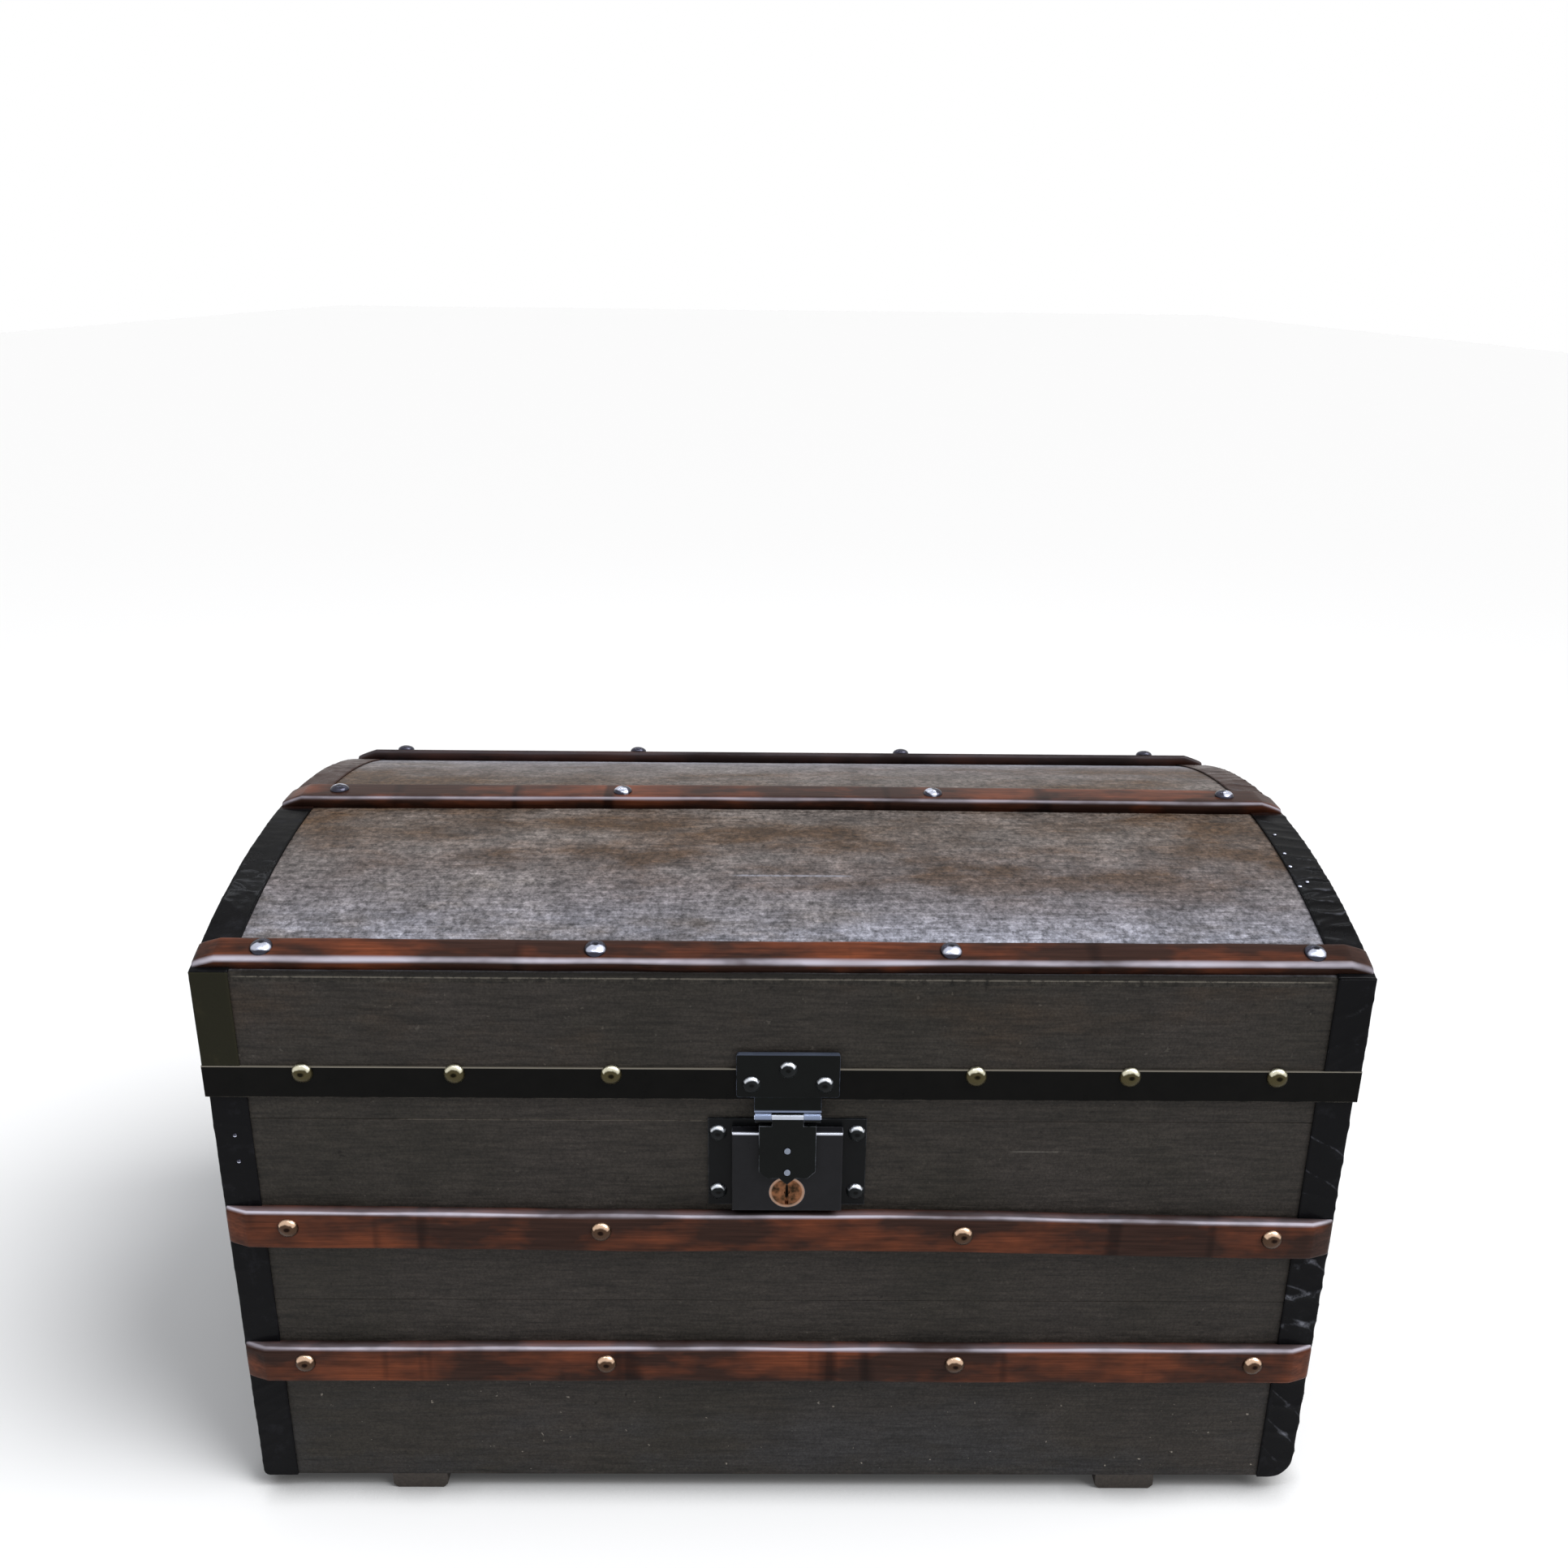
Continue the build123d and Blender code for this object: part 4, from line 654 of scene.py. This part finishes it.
# The pale upper edge of each wall slat, over the loop's first points: partly wear, partly a painted
# highlight.
wall_edge_wear_and_highlight = [0.0, 0.25, 1.0, 0.95, 0.25, 0.0]
wall_slats = (
    ("front_slat_upper", -1, upper_z, swell(0.0024, 0.09, 0.13, upper_slope)),
    ("front_slat_lower", -1, lower_z, swell(0.0008, -0.06, 0.12)),
    ("back_slat_upper", 1, upper_z, swell(0.001, -0.1, 0.15)),
    ("back_slat_lower", 1, lower_z, swell(-0.001, 0.1, 0.15)),
)
for seed, (name, face_sign, z, bow) in enumerate(wall_slats):
    slat_piece(
        name, (0, face_sign * half_depth, z), (0, face_sign, 0), wall_slat_width, wall_slat_half, bow,
        1 + seed, "trunk", wall_edge_wear_and_highlight,
    )
# The last list in each entry gives the edge's wear and painted highlight.
lid_slats = {
    "lid_slat_front": (-0.1819, 0.019, swell(0.0005, 0.0, 0.2), [0.0, 0.0, 0.45, 1.0, 1.0, 0.7, 0.25]),
    "lid_slat_centre": (dome_y, 0.027, swell(-0.0035, 0.0, 0.2), [0.0, 0.0, 0.1, 0.6, 0.6, 0.1]),
    "lid_slat_back": (0.1805, 0.019, swell(0.0, 0.0, 0.2), [0.0, 0.1, 0.3, 0.4, 0.3, 0.1]),
}
for seed, (name, (y, width, bow, edge_wear_and_highlight)) in enumerate(lid_slats.items()):
    slat_piece(name, *dome_spot(y), width, lid_slat_half, bow, 10 + seed, "lid", edge_wear_and_highlight)


# The nails
# Pressed domed nails, 13 mm across: coppery ones hold the wall slats, pale steel ones the lid's
# slats, brass ones the band and black ones the lock. Handling has dented them. Each head has a
# painted highlight and is painted darker around it as shade.
rings, around, skirt_depth = 9, 28, 0.12
dent_depth, most_lean, ragged_edge = 0.035, 0.05, 0.12


def domed_nails(name, seats, radius, height, material, slot, body, seed, *nodes):
    """Heads on seats given as (place, direction out). A ring at angle t from the rim is the
    radius times the cosine of t across and the height times the sine of t up, with small dents;
    each head leans a little. The map lays a head's disc over the unit square."""
    chance = np.random.default_rng(seed)
    t = np.linspace(0, pi / 2, rings + 1)[:-1]
    turn = np.linspace(0, 2 * pi, around, endpoint=False)
    radial = np.concatenate([[1.0], np.cos(t)])[:, None]
    up = np.concatenate([[-skirt_depth], np.sin(t)])[:, None]
    disc = np.stack([radial * np.cos(turn), radial * np.sin(turn), up + 0 * turn], -1).reshape(-1, 3)
    disc = np.concatenate([disc, [[0, 0, 1]]])
    number = np.arange((rings + 1) * around).reshape(rings + 1, around)
    after = np.roll(number, -1, axis=1)
    walls = np.stack([number[:-1], after[:-1], after[1:], number[1:]], -1).reshape(-1, 4)
    crown = np.stack([number[-1], after[-1], np.full(around, len(disc) - 1)], -1)
    first_points = len(disc) * np.arange(len(seats))[:, None, None]
    polygons = []
    for faces in (walls, crown, number[:1, ::-1]):
        polygons += (faces + first_points).reshape(-1, faces.shape[1]).tolist()
    points = []
    for place, out in seats:
        wave = chance.uniform(0, 6, 4)
        dents = 1 + dent_depth * np.sin(2 * disc[:, 0] + wave[0]) * np.sin(3 * disc[:, 1] + wave[1])
        local = disc * np.array([radius, radius, height]) * np.stack([dents**0.4, dents**0.3, dents], -1)
        lean_by = Vector(out) + Vector(chance.uniform(-most_lean, most_lean, 3))
        turned = np.array(lean_by.to_track_quat("Z", "Y").to_matrix())
        points += (local @ turned.T + np.array(place)).tolist()
    mesh = bpy.data.meshes.new(name)
    mesh.from_pydata(points, [], polygons)
    corners = np.zeros(len(mesh.loops), dtype=np.int32)
    mesh.loops.foreach_get("vertex_index", corners)
    layout = disc[corners % len(disc), :2] * 0.5 + 0.5
    mesh.uv_layers.new(name="head").data.foreach_set("uv", layout.ravel())
    finished(name, mesh, material, slot, body, *nodes)


def nail_metal(name, metal, shaded, spot_tone, metal_outside_gleam, gleam, cut):
    """Metal over each head's disc: bright in a gleam, an oval less a circle, a painted highlight;
    darker elsewhere, a painted shade; with a darker spot above the middle, all of it broken by
    grime in 3.3 mm specks. The fifth argument is how metallic the part outside the gleam is."""
    material, tree, shader = new_material(name, {"Specular IOR Level": 0.07, "Metallic": metal_outside_gleam})
    texture = node(tree, "TexCoord").node.outputs
    grime = node(tree, "TexNoise", {"Vector": texture["Object"], "Scale": 1000 / 3.3, "Detail": 4.0})
    shares = []
    for (x, y, stretch), none, full in (
        ((0.52, 0.57, 1.4), 0.25, 0.16),
        (gleam, 0.54, 0.46),
        ((*cut, 1.0), 0.43, 0.49),
    ):
        moved = node(
            tree,
            "Mapping",
            {"Vector": texture["UV"], "Location": (-x, -y * stretch, 0), "Scale": (1, stretch, 1)},
        )
        away = node(tree, "VectorMath", (moved,), "Value", operation="LENGTH")
        away = node(tree, "Math", (grime, ragged_edge, away), operation="MULTIPLY_ADD")
        shares.append(node(tree, "MapRange", (away, none, full)))
    spot, in_oval, off_circle = shares
    crescent = node(tree, "Math", (in_oval, off_circle), operation="MULTIPLY")
    colour = hex_colour(shaded)
    for share, tone in ((crescent, metal), (spot, spot_tone)):
        colour = node(tree, "Mix", {0: share, 6: colour, 7: hex_colour(tone)}, 2, data_type="RGBA")
    if metal_outside_gleam < 1:
        feed(shader, Metallic=node(tree, "MapRange", (crescent, 0, 1, metal_outside_gleam, 1)))
    feed(
        shader,
        Base_Color=colour,
        Roughness=node(tree, "MapRange", (grime, 0.3, 0.7, 0.2, 0.42)),
        Normal=node(tree, "Bump", {"Height": grime, "Strength": 0.35, "Distance": 0.0005}),
    )
    return material


under_top_rim, round_middle = ((0.5, 0.82, 1.7), (0.5, 0.42)), ((0.54, 0.34, 2.1), (0.5, 1.5))
thin_top_rim = ((0.5, 0.82, 1.7), (0.5, 0.46))
copper = nail_metal("copper_nails_with_painted_highlight", "#cdae95", "#4a382c", "#1c120e", 0.9, *under_top_rim)
steel = nail_metal("steel_nails_with_painted_highlight", "#b4b8c8", "#3a3a44", "#17161c", 1.0, *round_middle)
brass = nail_metal("brass_nails_with_painted_highlight", "#d0ccb6", "#453f2b", "#16130b", 0.9, *under_top_rim)
black = nail_metal("black_enamel_nails", "#c9cdd4", "#1a1c1d", "#060606", 0.0, *thin_top_rim)

head_size, lock_head_size = (0.0066, 0.0038), (0.0056, 0.0036)
wall_nail_xs = (-0.310, -0.114, 0.114, 0.310)
nail_line_above = 0.003
slat_front_y = -half_depth - slat_thickness
wall_seats = [
    ((x, slat_front_y, upper_z + nail_line_above + upper_slope * x), (0, -1, 0)) for x in wall_nail_xs
]
wall_seats += [((x, slat_front_y, lower_z + nail_line_above), (0, -1, 0)) for x in wall_nail_xs]
wall_seats += [((x, -slat_front_y, z), (0, 1, 0)) for x in wall_nail_xs for z in (upper_z, lower_z)]
domed_nails(
    "copper_slat_nails", wall_seats, *head_size, copper, "copper_nail", "trunk", 5, "body_slat_nails"
)

lid_nail_xs = {
    "lid_slat_front": (-0.311, -0.113, 0.099, 0.317),
    "lid_slat_centre": (-0.314, -0.114, 0.106, 0.314),
    "lid_slat_back": (-0.314, -0.120, 0.100, 0.305),
}
lid_seats = []
for name, xs in lid_nail_xs.items():
    spot, out = dome_spot(lid_slats[name][0], slat_thickness)
    lid_seats += [((x, spot[1], spot[2]), out) for x in xs]
domed_nails("steel_slat_nails", lid_seats, *head_size, steel, "steel_nail", "lid", 6, "lid_slat_nails")

band_nail_z, band_thickness = 0.3275, 0.0012
front_band_xs, end_band_ys = (-0.292, -0.200, -0.105, 0.117, 0.211, 0.301), (-0.13, 0, 0.13)
band_seats = [((x, lid_front - band_thickness, band_nail_z), (0, -1, 0)) for x in front_band_xs]
band_seats += [
    ((sign * (lid_half_width + band_thickness), y, band_nail_z), (sign, 0, 0))
    for sign in (-1, 1)
    for y in end_band_ys
]
domed_nails("brass_band_nails", band_seats, *head_size, brass, "brass_nail", "lid", 7, "band_nails")

lock_x, plate_thickness, hasp_thickness = 0.0025, 0.0015, 0.002
lock_seats = [
    ((lock_x + sign * 0.043, -half_depth - plate_thickness, z), (0, -1, 0))
    for sign in (-1, 1)
    for z in (0.2435, 0.286)
]
domed_nails("black_lock_nails", lock_seats, *lock_head_size, black, "black_iron", "trunk", 8, "lock_nails")
hasp_front_y = lid_front - band_thickness - hasp_thickness
hasp_seats = [
    ((lock_x + aside, hasp_front_y, z), (0, -1, 0))
    for aside, z in ((-0.0223, 0.3223), (0, 0.3326), (0.0223, 0.3223))
]
domed_nails("black_hasp_nails", hasp_seats, *lock_head_size, black, "black_iron", "lid", 9, "hasp_nails")


# The band, lock, hasp, hinges and handles
# Thin sheet iron and small castings in black satin enamel, with pale bare metal painted along
# the edges and where the hasp turns on its pin: partly the enamel rubbed thin, partly a painted
# highlight.
def enamelled_iron(name, dark, pale, bare_metal_and_highlight, rubbed_and_highlit, gloss=0.09):
    """Enamel in 11 mm clouds of two tones with a 2 mm orange peel, with pale bare metal painted
    along the edges, where the surface turns within 0.6 mm, and inside each place given as its
    middle, the axes that count, its reach and its strength. The pale metal is partly wear and
    partly a painted highlight."""
    material, tree, shader = new_material(name, {"Specular IOR Level": gloss})
    place = node(tree, "TexCoord", output="Object")
    cloud = node(tree, "TexNoise", {"Vector": place, "Scale": 1000 / 11, "Detail": 5.0, "Roughness": 0.65})
    peel = node(tree, "TexNoise", {"Vector": place, "Scale": 1000 / 2, "Detail": 2.0})
    enamel = node(tree, "Mix", {0: cloud, 6: hex_colour(dark), 7: hex_colour(pale)}, 2, data_type="RGBA")
    eased = node(tree, "Bevel", {"Radius": 0.0006}, samples=4)
    flat = node(tree, "NewGeometry", output="True Normal")
    likeness = node(tree, "VectorMath", (eased, flat), "Value", operation="DOT_PRODUCT")
    edge = node(tree, "MapRange", (likeness, 0.97, 0.8))
    broken = node(tree, "MapRange", (cloud, 0.38, 0.6, 0, 0.55))
    share = node(tree, "Math", (edge, broken), operation="MULTIPLY")
    for middle, axes, reach, strength in rubbed_and_highlit:
        away = node(tree, "VectorMath", (place, middle), operation="SUBTRACT")
        away = node(tree, "VectorMath", (away, axes), operation="MULTIPLY")
        away = node(tree, "VectorMath", (away,), "Value", operation="LENGTH")
        spot = node(tree, "MapRange", (away, reach, reach * 0.7, 0, strength))
        share = node(tree, "Math", (share, spot), operation="MAXIMUM")
    feed(
        shader,
        Base_Color=node(tree, "Mix", {0: share, 6: enamel, 7: hex_colour(bare_metal_and_highlight)}, 2, data_type="RGBA"),
        Metallic=share,
        Roughness=node(tree, "MapRange", (cloud, 0.3, 0.7, 0.26, 0.46)),
        Normal=node(tree, "Bump", {"Height": peel, "Strength": 0.2, "Distance": 0.0002}),
    )
    return material


# The places below paint pale metal as a highlight, partly wear too: the band's top edge, the hasp's
# knuckles, the lock case's top edge and the pin.
along_line, at_height = (0, 1, 1), (0, 0, 1)
case_top_edge, pin_line = (0, -0.2010, 0.2903), (lock_x, -0.2004, 0.3015)
knuckle_top, knuckle_front = (0, -0.2027, 0.3042), (0, -0.2034, 0.3031)
dress(
    enamelled_iron("black_satin_enamel_on_iron", "#050606", "#101113", "#6f737b", []),
    "lock_plate", "hinge_left_body_leaf", "hinge_right_body_leaf", "hinge_left_lid_leaf",
    "hinge_right_lid_leaf", "hinge_pins", "body_screws", "lid_hinge_screws", "handle_left_plate",
    "handle_right_plate", "handle_left", "handle_right", "lock_bolt",
)
dress(
    enamelled_iron(
        "black_enamel_on_band", "#050504", "#0f0e0d", "#8d877c",
        [((0, 0, band_top), at_height, 0.0009, 0.7)], 0.05,
    ),
    "band_front", "band_left", "band_right",
)
dress(
    enamelled_iron(
        "green_black_enamel_on_hasp_plate", "#030404", "#0a0d0c", "#848fa8",
        [(knuckle_top, along_line, 0.0031, 0.85), ((0, 0, 0.3435), at_height, 0.0013, 0.22)],
    ),
    "hasp_plate",
)
dress(
    enamelled_iron(
        "green_black_enamel_on_hasp_tongue", "#030404", "#0a0d0c", "#b6bcc8",
        [(knuckle_front, along_line, 0.0016, 0.95)],
    ),
    "hasp_tongue",
)
dress(
    enamelled_iron(
        "grey_black_enamel_on_lock_case", "#141416", "#202023", "#c9ccd6",
        [(case_top_edge, along_line, 0.0015, 0.95)],
    ),
    "lock_case",
)
dress(
    enamelled_iron("bare_iron_with_painted_highlight", "#6d7480", "#9aa3b4", "#c3cbdf", [(pin_line, along_line, 0.02, 0.9)]),
    "hasp_pin", "hasp_staple",
)

# The lock's plug
# A turned brass disc with a keyhole slit, set in the case and turned by the key. It is brown
# with grime in 4 mm patches and has a paler rim, and the slit is painted near black, a
# painted shade inside it.
plug_z, plug_rim, slit_half_width = 0.2475, 0.0092, 0.0011
plug_brass, tree, shader = new_material("worn_brass_lock_plug", {"Metallic": 1.0})
place = node(tree, "TexCoord", output="Object")
grime = node(tree, "TexNoise", {"Vector": place, "Scale": 1000 / 4.2, "Detail": 4.0})
from_plug = node(tree, "VectorMath", (place, (lock_x, 0, plug_z)), operation="SUBTRACT")
disc = node(tree, "VectorMath", (from_plug, (1, 0, 1)), operation="MULTIPLY")
off_middle = node(tree, "VectorMath", (disc,), "Value", operation="LENGTH")
long_slit = node(tree, "VectorMath", (disc, (1, 0, 0.14)), operation="MULTIPLY")
off_slit = node(tree, "VectorMath", (long_slit,), "Value", operation="LENGTH")
rim = node(tree, "MapRange", (off_middle, plug_rim, plug_rim + 0.0007, 0, 0.6))
slit_shade = node(tree, "MapRange", (off_slit, slit_half_width, slit_half_width - 0.0004))
cleaned = node(tree, "MapRange", (grime, 0.35, 0.65))
colour = hex_colour("#2e2318")
for share, tone in ((cleaned, "#83593f"), (rim, "#b09380"), (slit_shade, "#0a0807")):
    colour = node(tree, "Mix", {0: share, 6: colour, 7: hex_colour(tone)}, 2, data_type="RGBA")
feed(shader, Base_Color=colour, Roughness=node(tree, "MapRange", (grime, 0, 1, 0.3, 0.55)))
dress(plug_brass, "lock_plug")

# The tacks in the bindings
# Small round-headed steel tacks that hold the right arc binding and the front left corner
# binding where the glue has let go.
tack_size = (0.0014, 0.0008)
corner_tacks = ((-0.3384, 0.2822), (-0.3382, 0.2633))
arc_tacks = ((0.3347, -0.0501), (0.333, -0.0759), (0.3316, -0.0919), (0.3308, -0.1141), (0.3371, -0.1092))
tack_seats = {"trunk": [((x, -half_depth - 0.0012, z), (0, -1, 0)) for x, z in corner_tacks], "lid": []}
for x, y in arc_tacks:
    spot, out = dome_spot(y, 0.0014)
    tack_seats["lid"].append(((x, spot[1], spot[2]), out))
for seed, (body, seats) in enumerate(tack_seats.items()):
    domed_nails(f"binding_tacks_{body}", seats, *tack_size, steel, "steel_nail", body, 40 + seed)
